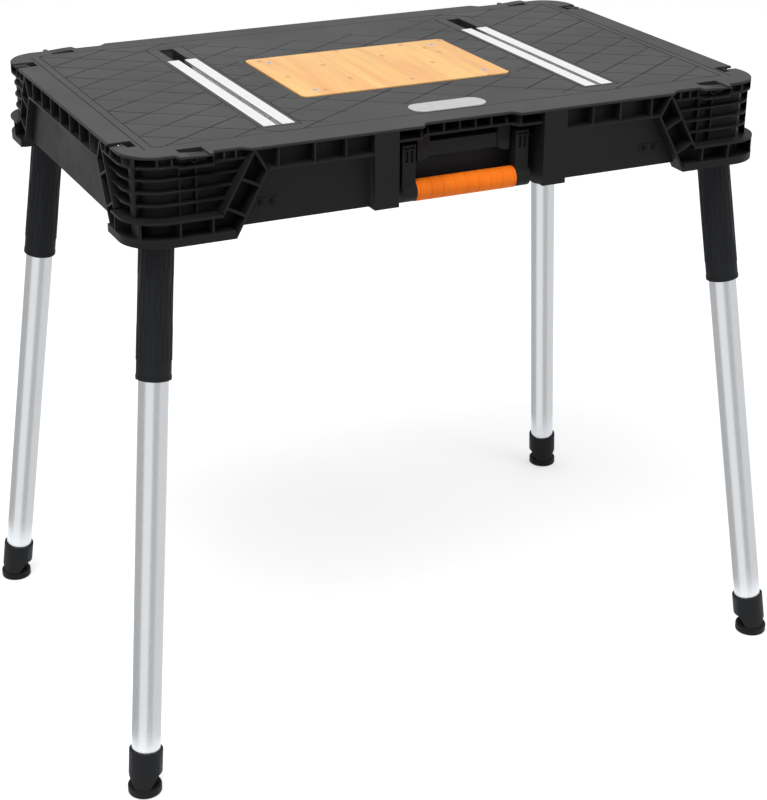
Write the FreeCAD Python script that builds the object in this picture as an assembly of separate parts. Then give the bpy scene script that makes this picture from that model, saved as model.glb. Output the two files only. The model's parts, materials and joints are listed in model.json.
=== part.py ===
import FreeCAD, Part
import math
import os

# Folding workbench: a ribbed plastic top on four splayed tubular legs that fold in under it.
# Millimetres. The origin is on the floor under the middle of the top, +X runs along the long
# side, the carrying handle is on the -Y side and +Z is up.

Vector = FreeCAD.Vector

# Top, overall
TOP_HEIGHT = 800.0
TOP_LENGTH = 856.0
TOP_DEPTH = 542.0
OUTLINE_RADIUS = 48.0
DECK_END_INSET = 4.0
DECK_CORNER_SETBACK = 9.5

# Deck plate
DECK_THICKNESS = 3.5
DECK_RADIUS = 44.0
DECK_EDGE_CHAMFER = 1.2
DECK_STEP_SLANT = 10.0
UNDER_RIB_DEPTH = 10.0
UNDER_RIB_THICKNESS = 2.5
UNDER_RIB_X = (60.0, 175.0, 262.0)
UNDER_RIB_Y = (60.0, 175.0)
UNDER_RIB_END_GAP = 30.0
HANDLE_NOTCH_HALF = 57.0
HANDLE_NOTCH_SLANT = 8.0
HANDLE_NOTCH_DEPTH = 11.0

# Shallow line work on the deck
LINE_WIDTH = 1.5
LINE_DEPTH = 0.8
DIAMOND_LENGTH = 84.7
DIAMOND_WIDTH = 58.0
PANEL_END_INSET = 45.0
PANEL_FRONT_INSET = 47.0
PANEL_BACK_INSET = 35.0
END_SLIT_INSET = 35.0
END_SLIT_WIDTH = 2.0
END_SLIT_MARGIN = 41.0
RAIL_BORDER = 6.5
BOARD_BORDER = 7.0
PLAIN_FIELD_HALF = 122.0
PLAIN_FIELD_Y = 178.0
PLAIN_FIELD_FLARE = 46.0

# Accessory pockets in the deck
POCKET_END_INSET = 81.5
POCKET_LENGTH = 30.0
POCKET_WIDTH = 12.5
POCKET_DEPTH = 10.0
POCKET_EDGE = 14.0
POCKET_WALL = 2.0
POCKET_SEAT_GAP = 0.3
POCKET_TOOTH = 1.6
POCKET_TOOTH_PITCH = 7.0
POCKET_LIP_MARGIN = 5.0
POCKET_BOSS_R = 4.2
POCKET_BOSS_BORE = 2.0
POCKET_BOSS_LENGTH = 5.0
FLAP_DROP = 2.2
END_POCKET_LENGTH = 24.0
END_POCKET_WIDTH = 10.0
END_POCKET_INSET = 26.0
END_POCKET_MARGIN = 72.0
END_POCKET_DEPTH = 8.0
END_NOTCH_WIDTH = 9.0
END_NOTCH_LENGTH = 14.0

# Work board let into the deck
BOARD_LENGTH = 290.0
BOARD_WIDTH = 200.0
BOARD_THICKNESS = 12.0
BOARD_RADIUS = 9.0
BOARD_PROUD = 1.0
BOARD_GAP = 1.5
TRAY_FLOOR = 3.0
TRAY_WALL = 2.5
BOARD_SCREW_X = 119.0
BOARD_SCREW_Y = 75.0
BOARD_SCREW_HEAD_R = 4.6
BOARD_SCREW_HEAD = 2.2
BOARD_SCREW_R = 2.0

# Clamp rails
RAIL_X = 217.0
RAIL_WIDTH = 39.8
RAIL_FRONT_INSET = 75.0
RAIL_BACK_INSET = 133.0
RAIL_HEIGHT = 14.0
RAIL_PROUD = 0.5
RAIL_SLOT = 8.0
RAIL_BASE = 3.0
RAIL_LIP = 3.5
RAIL_CHANNEL = 26.0
RAIL_GAP = 0.4
TROUGH_FLOOR = 2.5
TROUGH_WALL = 2.5
ENTRY_LENGTH = 64.0
ENTRY_WIDTH = 20.0
RAIL_SCREW_R = 2.0
RAIL_SCREW_HEAD_R = 3.6
RAIL_SCREW_HEAD = 1.6
RAIL_SCREWS = 3

# Oval plate
BADGE_LENGTH = 100.0
BADGE_WIDTH = 36.0
BADGE_RADIUS = 16.0
BADGE_THICKNESS = 1.6
BADGE_PROUD = 0.8
BADGE_FRONT_INSET = 69.0
BADGE_GAP = 0.3

# Walls
WALL_THICKNESS = 3.0
FRONT_RECESS = 17.0
END_RECESS = 13.5
WALL_DROP = 95.5
BAND_DROP = 29.0
SHELF_THICKNESS = 3.0
RIB_THICKNESS = 2.5
FRONT_RIB_X = (165.0, 204.0, 249.0)
REAR_MIDDLE_RIB_X = (0.0, 34.0, 68.0)
END_RIB_PITCH = 40.0
END_RIBS = 7
PILLAR_INNER = 97.0
PILLAR_OUTER = 129.0
WALL_SCREW_STEPS = (24.0, 10.0)
WALL_SCREW_DROP = 71.5
SCREW_PLATE_MARGIN = 8.0
SCREW_PLATE_HEIGHT = 11.0
SCREW_PLATE_PROUD = 1.0
WALL_SCREW_R = 1.8
WALL_SCREW_HEAD_R = 3.2
WALL_SCREW_HEAD = 1.8
WALL_SCREW_LENGTH = 9.0
WALL_BOSS_R = 4.5
WALL_BOSS_LENGTH = 9.0

# Corner blocks
BLOCK_DROP = 104.5
BLOCK_RIM = 10.0
BLOCK_FRONT_RECESS = 23.5
BLOCK_END_RECESS = 20.5
MAIN_RIB_DROP = 74.0
TIER_RIB_DROPS = (12.5, 27.5, 42.5, 57.5)
TIER_INSET = 3.0
BLOCK_FRONT_LENGTH = 152.0
BLOCK_END_LENGTH = 114.0
BRANCH_RUN = 15.0
INNER_RUN = 40.0
OUTER_RUN = 26.0
DIAGONAL_THICKNESS = 3.0
DIAGONAL_LAP = 1.0
CROSS_RIB_SHARES = ((0.43, 0.22), (0.89, 0.66))
WEB_RIB_STEPS = (16.5, -3.5)
WEB_RIB_INSET = 4.0
LOWER_RIB_END_INSETS = (98.0, 59.0)
LOWER_RIB_SIDE_INSETS = (59.0,)
UPPER_RIB_END_INSETS = (131.0, 117.0, 104.0, 55.0, 38.0)
UPPER_RIB_SIDE_INSETS = (93.0, 75.0, 39.0)
CORNER_RIB_END_INSET = 15.0
CORNER_RIB_SIDE_INSET = 41.0

# Handle and its bay
BAY_DEPTH = 43.0
BAY_SHELF_DROP = 15.0
BAY_SHELF_INSET = 3.5
BAY_RIB_X = (10.6, 31.8, 53.0)
BAY_END_RIB_X = 66.5
BEAM_HALF = 46.0
BEAM_SETBACK = 25.0
BEAM_TOP_DROP = 28.0
BEAM_DROP = 46.0
PAD_OUTER = 62.5
PAD_SLANT = 9.0
PAD_SETBACK = 23.5
PAD_DROP = 50.5
HANDLE_PIVOT_DROP = 37.0
HANDLE_PIVOT_SETBACK = 30.0
HANDLE_REACH = 48.5
ARM_INNER = 67.5
ARM_WIDTH = 17.8
ARM_FRONT = 13.0
ARM_DEPTH = 14.0
ARM_TOP = 10.0
ARM_HUB_R = 7.0
ARM_SLOT_WIDTH = 3.8
ARM_SLOT_PITCH = 6.6
ARM_SLOT_DEPTH = 2.5
ARM_SLOT_HIGH = 3.0
ARM_SLOT_LENGTH = 14.0
ARM_BAR_LOW = 5.0
ARM_BAR_HEIGHT = 3.0
ARM_BAR_MARGIN = 2.0
ELBOW_DIAMETER = 25.5
ELBOW_PROUD = 1.2
GRIP_DIAMETER = 26.5
GRIP_END_GAP = 0.5
GRIP_RING_PITCH = 16.0
GRIP_RING_WIDTH = 1.2
GRIP_RING_DEPTH = 0.6
HANDLE_ROD_DIAMETER = 14.0
HANDLE_PIN_DIAMETER = 6.0
HANDLE_PIN_SEAT = 8.0

# Legs
LEG_END_INSET = 57.8
LEG_SIDE_INSET = 62.5
SPLAY_X = 0.109
SPLAY_Y = 0.114
FOLD_INWARD = 4.5
UPPER_PIVOT_DROP = 43.0
LAYER_GAP = 3.0
TUBE_DIAMETER = 36.0
TUBE_WALL = 1.6
SLEEVE_TOP_DIAMETER = 40.5
SLEEVE_BOTTOM_DIAMETER = 42.0
SLEEVE_BEAD_DIAMETER = 43.0
SLEEVE_BEAD = 4.0
SLEEVE_FOOT_DROP = 272.0
TUBE_FOOT_Z = 32.0
EYE_RADIUS = 17.0
EYE_THICKNESS = 20.0
EYE_DROP = 20.0
SHOULDER = 4.0
PLUG_LENGTH = 40.0
SEAT_GAP = 0.15

# Feet
CAP_DIAMETER = 42.4
CAP_TOP_Z = 57.0
CAP_FLOOR = 4.0
CAP_SKIRT_WALL = 3.2
TONGUE_TURN = 27.0
TONGUE_HALF_TOP = 19.5
TONGUE_HALF_BOTTOM = 9.0
TONGUE_GAP = 0.4
WINDOW_TOP_GAP = 1.0
PAD_DIAMETER = 42.6
PAD_THICKNESS = 12.0
PAD_EDGE = 2.5
PAD_NECK_DIAMETER = 17.0
PAD_NECK_TOP_GAP = 3.0
PAD_STEM_DIAMETER = 10.0
PAD_STEM_LENGTH = 34.0

# Hinge brackets, pins and leg locks
HINGE_PIN_DIAMETER = 10.0
HINGE_PIN_PROUD = 1.0
RUNNING_CLEARANCE = 0.05
CHEEK_GAP = 0.4
CHEEK_THICKNESS = 4.0
CHEEK_RADIUS = 15.0
CHEEK_HALF_WIDTH = 13.0
STOP_GAP = 0.3
STOP_THICKNESS = 4.0
STOP_HIGH = -4.0
STOP_LOW = -14.0
FLANGE_DROP = 15.0
FLANGE_THICKNESS = 4.0
FLANGE_INWARD = 42.0
FLANGE_OUTWARD = 19.0
FLANGE_SIDE_IN = 36.0
FLANGE_SIDE_OUT = 20.0
BRACKET_SCREW_INSET = 5.0
BRACKET_SCREW_R = 2.2
BRACKET_SCREW_HEAD_R = 3.8
BRACKET_SCREW_HEAD = 2.2
BRACKET_SCREW_BITE = 8.0
LOCK_RADIUS = 11.0
LOCK_NOSE_DIAMETER = 5.0
LOCK_NOSE_DEPTH = 3.0
LOCK_GROOVE_GAP = 0.4
LOCK_GROOVE_MARGIN = 16.0
LOCK_COLLAR_DIAMETER = 9.4
LOCK_COLLAR = 2.4
LOCK_COLLAR_GAP = 0.3
LOCK_STEM_DIAMETER = 4.0
BARREL_DIAMETER = 14.0
BARREL_BORE = 10.0
BARREL_LENGTH = 13.0
BARREL_END = 2.0
SPRING_WALL = 1.0
SPRING_GAP = 0.2
KNOB_DIAMETER = 16.0
KNOB_LENGTH = 7.0
KNOB_GAP = 0.4

# Places worked out from the sizes above
HALF_LENGTH = TOP_LENGTH / 2
HALF_DEPTH = TOP_DEPTH / 2
DECK_HALF_LENGTH = HALF_LENGTH - DECK_END_INSET
PANEL_HALF_LENGTH = HALF_LENGTH - PANEL_END_INSET
PANEL_FRONT = -HALF_DEPTH + PANEL_FRONT_INSET
PANEL_BACK = HALF_DEPTH - PANEL_BACK_INSET
END_SLIT_X = HALF_LENGTH - END_SLIT_INSET
END_SLIT_HALF = HALF_DEPTH - END_SLIT_MARGIN
POCKET_X = HALF_LENGTH - POCKET_END_INSET
END_POCKET_X = HALF_LENGTH - END_POCKET_INSET
END_POCKET_Y = HALF_DEPTH - END_POCKET_MARGIN
RAIL_FRONT = -HALF_DEPTH + RAIL_FRONT_INSET
RAIL_BACK = HALF_DEPTH - RAIL_BACK_INSET
BADGE_Y = -HALF_DEPTH + BADGE_FRONT_INSET
FRONT_APEX = HALF_LENGTH - BLOCK_FRONT_LENGTH
END_APEX = HALF_DEPTH - BLOCK_END_LENGTH
WALL_SCREW_X = tuple(FRONT_APEX - step for step in WALL_SCREW_STEPS)
LOWER_RIB_X = tuple(HALF_LENGTH - inset for inset in LOWER_RIB_END_INSETS)
LOWER_RIB_Y = tuple(HALF_DEPTH - inset for inset in LOWER_RIB_SIDE_INSETS)
UPPER_RIB_X = tuple(HALF_LENGTH - inset for inset in UPPER_RIB_END_INSETS)
UPPER_RIB_Y = tuple(HALF_DEPTH - inset for inset in UPPER_RIB_SIDE_INSETS)
CORNER_RIB_X = HALF_LENGTH - CORNER_RIB_END_INSET
CORNER_RIB_Y = HALF_DEPTH - CORNER_RIB_SIDE_INSET
LEG_TOP_X = HALF_LENGTH - LEG_END_INSET
LEG_TOP_Y = HALF_DEPTH - LEG_SIDE_INSET
SLEEVE_FOOT_Z = TOP_HEIGHT - SLEEVE_FOOT_DROP
DECK_CORNER_Y = HALF_DEPTH - DECK_CORNER_SETBACK
DECK_BOTTOM = TOP_HEIGHT - DECK_THICKNESS
WALL_BOTTOM = TOP_HEIGHT - WALL_DROP
BAND_BOTTOM = TOP_HEIGHT - BAND_DROP
BLOCK_BOTTOM = TOP_HEIGHT - BLOCK_DROP
MAIN_RIB_Z = TOP_HEIGHT - MAIN_RIB_DROP
PANEL_FACE_Y = HALF_DEPTH - FRONT_RECESS
PANEL_FACE_X = HALF_LENGTH - END_RECESS
RAIL_TOP = TOP_HEIGHT + RAIL_PROUD
RAIL_BOTTOM = RAIL_TOP - RAIL_HEIGHT
RAIL_FLOOR = RAIL_BOTTOM + RAIL_BASE
BOARD_BOTTOM = TOP_HEIGHT + BOARD_PROUD - BOARD_THICKNESS
POCKET_Y = DECK_CORNER_Y - POCKET_EDGE
FLANGE_TOP = TOP_HEIGHT - FLANGE_DROP
FLANGE_BOTTOM = FLANGE_TOP - FLANGE_THICKNESS
UPPER_PIVOT_Z = TOP_HEIGHT - UPPER_PIVOT_DROP
LOWER_PIVOT_Z = UPPER_PIVOT_Z - TUBE_DIAMETER - LAYER_GAP
AXIS_STRETCH = math.sqrt(1.0 + SPLAY_X ** 2 + SPLAY_Y ** 2)
HANDLE_PIVOT_Y = -HALF_DEPTH + HANDLE_PIVOT_SETBACK
HANDLE_PIVOT_Z = TOP_HEIGHT - HANDLE_PIVOT_DROP
ARM_FACE_Y = HANDLE_PIVOT_Y - ARM_FRONT
GRIP_Y = ARM_FACE_Y + ARM_DEPTH / 2
GRIP_Z = HANDLE_PIVOT_Z - HANDLE_REACH
UPPER_TIER_Z = TOP_HEIGHT - TIER_RIB_DROPS[0]
PANEL_FACE = (PANEL_FACE_X, PANEL_FACE_Y)
BLOCK_FACE = (HALF_LENGTH - BLOCK_END_RECESS, HALF_DEPTH - BLOCK_FRONT_RECESS)
HINGE_BORE_R = HINGE_PIN_DIAMETER / 2 + RUNNING_CLEARANCE
CHEEK_INNER = EYE_THICKNESS / 2 + CHEEK_GAP
CHEEK_OUTER = CHEEK_INNER + CHEEK_THICKNESS
OVERSIZE = 5.0

SIDES_X = (("left", -1), ("right", 1))
SIDES_Y = (("front", -1), ("rear", 1))


# General shapes


def box(low, high):
    """Box between two opposite corners."""
    corner = Vector(*[min(a, b) for a, b in zip(low, high)])
    size = [abs(b - a) for a, b in zip(low, high)]
    return Part.makeBox(size[0], size[1], size[2], corner)


def flat_face(points):
    """Flat face inside a closed outline of points."""
    corners = [Vector(*point) for point in points]
    return Part.Face(Part.makePolygon(corners + corners[:1]))


def prism(points, run):
    """Straight prism over a closed outline of points."""
    return flat_face(points).extrude(Vector(*run))


def rod(start, end, radius):
    """Round bar between two points."""
    low = Vector(*start)
    along = Vector(*end) - low
    return Part.makeCylinder(radius, along.Length, low, along)


def rounded_slab(half_x, half_y, radius, low, high, centre=(0.0, 0.0)):
    """Slab with round upright corners."""
    slab = box(
        (centre[0] - half_x, centre[1] - half_y, low),
        (centre[0] + half_x, centre[1] + half_y, high),
    )
    upright = [edge for edge in slab.Edges if abs(edge.tangentAt(edge.FirstParameter).z) > 0.5]
    return slab.makeFillet(radius, upright)


def joined(shapes):
    """One clean solid from touching shapes."""
    return shapes[0].multiFuse(shapes[1:]).removeSplitter()


def mirrored(shape, sign_x, sign_y):
    """Copy of a shape of the +X +Y quarter in another quarter."""
    copy = shape
    if sign_x < 0:
        copy = copy.mirror(Vector(0, 0, 0), Vector(1, 0, 0))
    if sign_y < 0:
        copy = copy.mirror(Vector(0, 0, 0), Vector(0, 1, 0))
    return copy


def in_four_quarters(shape):
    """The shape of one quarter, in all four."""
    return [mirrored(shape, sx, sy) for _, sx in SIDES_X for _, sy in SIDES_Y]


def save(name, shape):
    """Write one named piece."""
    shape.exportStep("parts/" + name + ".step")


# Deck


def deck_edge_band():
    """Plate out to the full depth between the corners."""
    step = FRONT_APEX + OVERSIZE
    half = HALF_DEPTH
    inner = DECK_CORNER_Y
    outline = [
        (-step, half, DECK_BOTTOM),
        (step, half, DECK_BOTTOM),
        (step + DECK_STEP_SLANT, inner, DECK_BOTTOM),
        (step + DECK_STEP_SLANT, -inner, DECK_BOTTOM),
        (step, -half, DECK_BOTTOM),
        (-step, -half, DECK_BOTTOM),
        (-step - DECK_STEP_SLANT, -inner, DECK_BOTTOM),
        (-step - DECK_STEP_SLANT, inner, DECK_BOTTOM),
    ]
    return prism(outline, (0, 0, DECK_THICKNESS))


def pocket_lip(low, high):
    """Lip of the edge outside a connection pocket, between two heights."""
    reach = POCKET_LENGTH / 2 + POCKET_LIP_MARGIN
    outline = [
        (POCKET_X - reach - POCKET_LIP_MARGIN, DECK_CORNER_Y - OVERSIZE, low),
        (POCKET_X + reach + POCKET_LIP_MARGIN, DECK_CORNER_Y - OVERSIZE, low),
        (POCKET_X + reach, HALF_DEPTH, low),
        (POCKET_X - reach, HALF_DEPTH, low),
    ]
    return prism(outline, (0, 0, high - low))


def handle_notch():
    """Set-back of the front edge over the handle."""
    edge = -HALF_DEPTH
    inner = edge + HANDLE_NOTCH_DEPTH
    wide = HANDLE_NOTCH_HALF + HANDLE_NOTCH_SLANT
    outline = [
        (-wide, edge - OVERSIZE, DECK_BOTTOM - OVERSIZE),
        (wide, edge - OVERSIZE, DECK_BOTTOM - OVERSIZE),
        (wide, edge, DECK_BOTTOM - OVERSIZE),
        (HANDLE_NOTCH_HALF, inner, DECK_BOTTOM - OVERSIZE),
        (-HANDLE_NOTCH_HALF, inner, DECK_BOTTOM - OVERSIZE),
        (-wide, edge, DECK_BOTTOM - OVERSIZE),
    ]
    return prism(outline, (0, 0, DECK_THICKNESS + 2 * OVERSIZE))


def deck_plate():
    """Outline of the deck with its chamfered upper edge."""
    body = rounded_slab(DECK_HALF_LENGTH, DECK_CORNER_Y, DECK_RADIUS, DECK_BOTTOM, TOP_HEIGHT)
    lips = in_four_quarters(pocket_lip(DECK_BOTTOM, TOP_HEIGHT))
    plate = joined([body, deck_edge_band()] + lips)
    plate = plate.cut(handle_notch())
    top_face = max(plate.Faces, key=lambda face: face.CenterOfMass.z)
    return plate.makeChamfer(DECK_EDGE_CHAMFER, top_face.OuterWire.Edges)


def trough_box(sign, wall, low):
    """Space of one rail and of the clamp entry behind it, grown by a wall."""
    half = RAIL_WIDTH / 2 + RAIL_GAP + wall
    entry = ENTRY_WIDTH / 2 + wall
    centre = sign * RAIL_X
    back = RAIL_BACK + RAIL_GAP + wall
    high = TOP_HEIGHT + (OVERSIZE if wall == 0 else -DECK_THICKNESS / 2)
    rail = box((centre - half, RAIL_FRONT - RAIL_GAP - wall, low), (centre + half, back, high))
    far = RAIL_BACK + ENTRY_LENGTH + wall
    return rail.fuse(box((centre - entry, RAIL_BACK, low), (centre + entry, far, high)))


def pocket_space(wall):
    """Space of one connection pocket, grown by a wall."""
    half_x = POCKET_LENGTH / 2 + wall
    half_y = POCKET_WIDTH / 2 + wall
    high = TOP_HEIGHT + (OVERSIZE if wall == 0 else -DECK_THICKNESS / 2)
    low = TOP_HEIGHT - POCKET_DEPTH - wall
    return box((POCKET_X - half_x, POCKET_Y - half_y, low), (POCKET_X + half_x, POCKET_Y + half_y, high))


def pocket_teeth():
    """Small upright teeth on the outer side of a connection pocket."""
    teeth = []
    for step in (-1, 0, 1):
        middle = POCKET_X + step * POCKET_TOOTH_PITCH
        outer = POCKET_Y + POCKET_WIDTH / 2
        low = TOP_HEIGHT - POCKET_DEPTH
        teeth.append(box(
            (middle - POCKET_TOOTH / 2, outer - POCKET_TOOTH, low),
            (middle + POCKET_TOOTH / 2, outer, DECK_BOTTOM),
        ))
    return teeth


def pocket_boss():
    """Small round boss on the outer wall of a connection pocket."""
    z = (UPPER_TIER_Z + DECK_BOTTOM) / 2
    outer = POCKET_Y + POCKET_WIDTH / 2
    tip = outer + POCKET_WALL + POCKET_BOSS_LENGTH
    boss = rod((POCKET_X, outer, z), (POCKET_X, tip, z), POCKET_BOSS_R)
    return boss.cut(rod((POCKET_X, outer + POCKET_WALL, z), (POCKET_X, tip, z), POCKET_BOSS_BORE))


def flap_ramps():
    """Sloping cuts that lower the edge outside each pocket towards one side."""
    high = TOP_HEIGHT + OVERSIZE
    low = TOP_HEIGHT - FLAP_DROP
    half_x = POCKET_LENGTH / 2
    half_y = END_POCKET_LENGTH / 2
    ramps = []
    for _, sx in SIDES_X:
        for _, sy in SIDES_Y:
            start = sx * POCKET_X + sy * half_x
            end = sx * POCKET_X - sy * half_x
            y = sy * POCKET_Y
            outline = [(start, y, TOP_HEIGHT), (end, y, low), (end, y, high), (start, y, high)]
            ramps.append(prism(outline, (0, sy * (HALF_DEPTH + OVERSIZE - POCKET_Y), 0)))
            start = sy * END_POCKET_Y - half_y
            end = sy * END_POCKET_Y + half_y
            x = sx * END_POCKET_X
            outline = [(x, start, TOP_HEIGHT), (x, end, low), (x, end, high), (x, start, high)]
            ramps.append(prism(outline, (sx * (HALF_LENGTH - END_POCKET_X), 0, 0)))
    return ramps


def end_pocket_space(wall):
    """Space of one pocket at the end of the deck, grown by a wall."""
    half_x = END_POCKET_WIDTH / 2 + wall
    half_y = END_POCKET_LENGTH / 2 + wall
    high = TOP_HEIGHT + (OVERSIZE if wall == 0 else -DECK_THICKNESS / 2)
    low = TOP_HEIGHT - END_POCKET_DEPTH - wall
    return box(
        (END_POCKET_X - half_x, END_POCKET_Y - half_y, low),
        (END_POCKET_X + half_x, END_POCKET_Y + half_y, high),
    )


def end_notch():
    """Notch from the end edge of the deck beside its pocket."""
    low_y = END_POCKET_Y - END_POCKET_LENGTH / 2
    edge = DECK_HALF_LENGTH
    return box(
        (edge - END_NOTCH_LENGTH, low_y, DECK_BOTTOM - OVERSIZE),
        (edge + OVERSIZE, low_y + END_NOTCH_WIDTH, TOP_HEIGHT + OVERSIZE),
    )


def under_ribs():
    """Stiffening ribs under the deck."""
    low = DECK_BOTTOM - UNDER_RIB_DEPTH
    half = UNDER_RIB_THICKNESS / 2
    reach_x = PANEL_FACE_X - UNDER_RIB_END_GAP
    reach_y = HALF_DEPTH - BAY_DEPTH - UNDER_RIB_END_GAP
    ribs = []
    for sign in (-1, 1):
        for x in UNDER_RIB_X:
            ribs.append(box((sign * x - half, -reach_y, low), (sign * x + half, reach_y, DECK_BOTTOM)))
        for y in UNDER_RIB_Y:
            ribs.append(box((-reach_x, sign * y - half, low), (reach_x, sign * y + half, DECK_BOTTOM)))
    return ribs


def line_field():
    """Part of the deck's surface that carries the diamond lines."""
    low = TOP_HEIGHT - LINE_DEPTH
    high = TOP_HEIGHT + OVERSIZE
    field = box((-PANEL_HALF_LENGTH, PANEL_FRONT, low), (PANEL_HALF_LENGTH, PANEL_BACK, high))
    board = BOARD_LENGTH / 2 + BOARD_BORDER
    board_y = BOARD_WIDTH / 2 + BOARD_BORDER
    field = field.cut(box((-board, -board_y, low), (board, board_y, high)))
    rail = RAIL_WIDTH / 2 + RAIL_BORDER
    for sign in (-1, 1):
        x = sign * RAIL_X
        back = RAIL_BACK + ENTRY_LENGTH + RAIL_BORDER
        field = field.cut(box((x - rail, RAIL_FRONT - RAIL_BORDER, low), (x + rail, back, high)))
        far_y = PANEL_BACK if sign > 0 else PANEL_FRONT
        wide = PLAIN_FIELD_HALF + PLAIN_FIELD_FLARE
        plain = [
            (-PLAIN_FIELD_HALF, sign * PLAIN_FIELD_Y, low),
            (PLAIN_FIELD_HALF, sign * PLAIN_FIELD_Y, low),
            (wide, far_y, low),
            (-wide, far_y, low),
        ]
        field = field.cut(prism(plain, (0, 0, high - low)))
    return field


def diamond_lines(slope_sign):
    """One family of slanted lines over the whole deck."""
    angle = math.degrees(math.atan2(slope_sign * DIAMOND_WIDTH, DIAMOND_LENGTH))
    reach = HALF_LENGTH + HALF_DEPTH
    half = LINE_WIDTH / 2
    count = int(TOP_LENGTH / DIAMOND_LENGTH + TOP_DEPTH / DIAMOND_WIDTH) // 2 + 1
    low = TOP_HEIGHT - LINE_DEPTH
    lines = []
    for step in range(-count, count):
        line = box((-reach, -half, low), (reach, half, TOP_HEIGHT + OVERSIZE))
        line.rotate(Vector(0, 0, 0), Vector(0, 0, 1), angle)
        line.translate(Vector(0, (step + 0.5) * DIAMOND_WIDTH, 0))
        lines.append(line)
    return Part.makeCompound(lines)


def border_loop(low_x, low_y, high_x, high_y):
    """Rectangular border line."""
    low = TOP_HEIGHT - LINE_DEPTH
    high = TOP_HEIGHT + OVERSIZE
    outer = box((low_x, low_y, low), (high_x, high_y, high))
    inner = box(
        (low_x + LINE_WIDTH, low_y + LINE_WIDTH, low - OVERSIZE),
        (high_x - LINE_WIDTH, high_y - LINE_WIDTH, high + OVERSIZE),
    )
    return outer.cut(inner)


def border_lines():
    """Border round the panel, round the rails and the two end slits."""
    lines = [border_loop(-PANEL_HALF_LENGTH, PANEL_FRONT, PANEL_HALF_LENGTH, PANEL_BACK)]
    rail = RAIL_WIDTH / 2 + RAIL_BORDER
    back = RAIL_BACK + ENTRY_LENGTH + RAIL_BORDER
    half = END_SLIT_WIDTH / 2
    for sign in (-1, 1):
        x = sign * RAIL_X
        lines.append(border_loop(x - rail, RAIL_FRONT - RAIL_BORDER, x + rail, back))
        slit = sign * END_SLIT_X
        lines.append(box(
            (slit - half, -END_SLIT_HALF, TOP_HEIGHT - LINE_DEPTH),
            (slit + half, END_SLIT_HALF, TOP_HEIGHT + OVERSIZE),
        ))
    return lines


def make_deck():
    """Top plate with everything that is moulded into it."""
    tray_x = BOARD_LENGTH / 2 + BOARD_GAP
    tray_y = BOARD_WIDTH / 2 + BOARD_GAP
    tray_radius = BOARD_RADIUS + BOARD_GAP
    tray = rounded_slab(
        tray_x + TRAY_WALL, tray_y + TRAY_WALL, tray_radius + TRAY_WALL,
        BOARD_BOTTOM - TRAY_FLOOR, DECK_BOTTOM + DECK_THICKNESS / 2,
    )
    solids = [deck_plate(), tray] + under_ribs()
    solids += in_four_quarters(pocket_space(POCKET_WALL))
    solids += in_four_quarters(pocket_boss())
    solids += in_four_quarters(end_pocket_space(POCKET_WALL))
    solids += [trough_box(sign, TROUGH_WALL, RAIL_BOTTOM - TROUGH_FLOOR) for sign in (-1, 1)]
    solids += [flange_box(sx, sy, FLANGE_TOP, DECK_BOTTOM) for _, sx in SIDES_X for _, sy in SIDES_Y]
    deck = joined(solids)
    hollows = [rounded_slab(tray_x, tray_y, tray_radius, BOARD_BOTTOM, TOP_HEIGHT + OVERSIZE)]
    hollows += in_four_quarters(pocket_space(0.0).cut(Part.makeCompound(pocket_teeth())))
    hollows += in_four_quarters(end_pocket_space(0.0))
    hollows += in_four_quarters(end_notch())
    hollows += [trough_box(sign, 0.0, RAIL_BOTTOM) for sign in (-1, 1)]
    hollows += [badge_shape(BADGE_GAP, TOP_HEIGHT + OVERSIZE)]
    hollows += board_screw_shanks(RUNNING_CLEARANCE)
    hollows += rail_screw_shanks(RUNNING_CLEARANCE)
    hollows += bracket_screw_shanks(RUNNING_CLEARANCE)
    for hollow in hollows + flap_ramps() + border_lines():
        deck = deck.cut(hollow)
    field = line_field()
    for slope_sign in (-1, 1):
        deck = deck.cut(diamond_lines(slope_sign).common(field))
    return deck.removeSplitter()


# Pieces let into the deck


def board_screw_shanks(clearance):
    """Shanks of the board's screws."""
    low = BOARD_BOTTOM - TRAY_FLOOR
    high = TOP_HEIGHT + BOARD_PROUD
    radius = BOARD_SCREW_R + clearance
    shank = rod((BOARD_SCREW_X, BOARD_SCREW_Y, low), (BOARD_SCREW_X, BOARD_SCREW_Y, high), radius)
    return in_four_quarters(shank)


def board_screw_heads(clearance):
    """Flat heads of the board's screws."""
    high = TOP_HEIGHT + BOARD_PROUD
    low = high - BOARD_SCREW_HEAD
    radius = BOARD_SCREW_HEAD_R + clearance
    head = rod((BOARD_SCREW_X, BOARD_SCREW_Y, low), (BOARD_SCREW_X, BOARD_SCREW_Y, high), radius)
    return in_four_quarters(head)


def make_board():
    """Work board with holes for its screws."""
    board = rounded_slab(
        BOARD_LENGTH / 2, BOARD_WIDTH / 2, BOARD_RADIUS, BOARD_BOTTOM, TOP_HEIGHT + BOARD_PROUD,
    )
    for hole in board_screw_shanks(RUNNING_CLEARANCE) + board_screw_heads(RUNNING_CLEARANCE):
        board = board.cut(hole)
    return board


def make_board_screws():
    """Group of the four board screws."""
    pairs = zip(board_screw_shanks(0.0), board_screw_heads(0.0))
    return Part.makeCompound([joined([head, shank]) for shank, head in pairs])


def rail_screw_places():
    """Middle of each screw in the floor of the rails."""
    spacing = (RAIL_BACK - RAIL_FRONT) / RAIL_SCREWS
    places = []
    for sign in (-1, 1):
        for step in range(RAIL_SCREWS):
            places.append((sign * RAIL_X, RAIL_FRONT + (step + 0.5) * spacing))
    return places


def rail_screw_shanks(clearance):
    """Shanks of the rail screws, down through the trough's floor."""
    low = RAIL_BOTTOM - TROUGH_FLOOR
    radius = RAIL_SCREW_R + clearance
    return [rod((x, y, low), (x, y, RAIL_FLOOR), radius) for x, y in rail_screw_places()]


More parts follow.
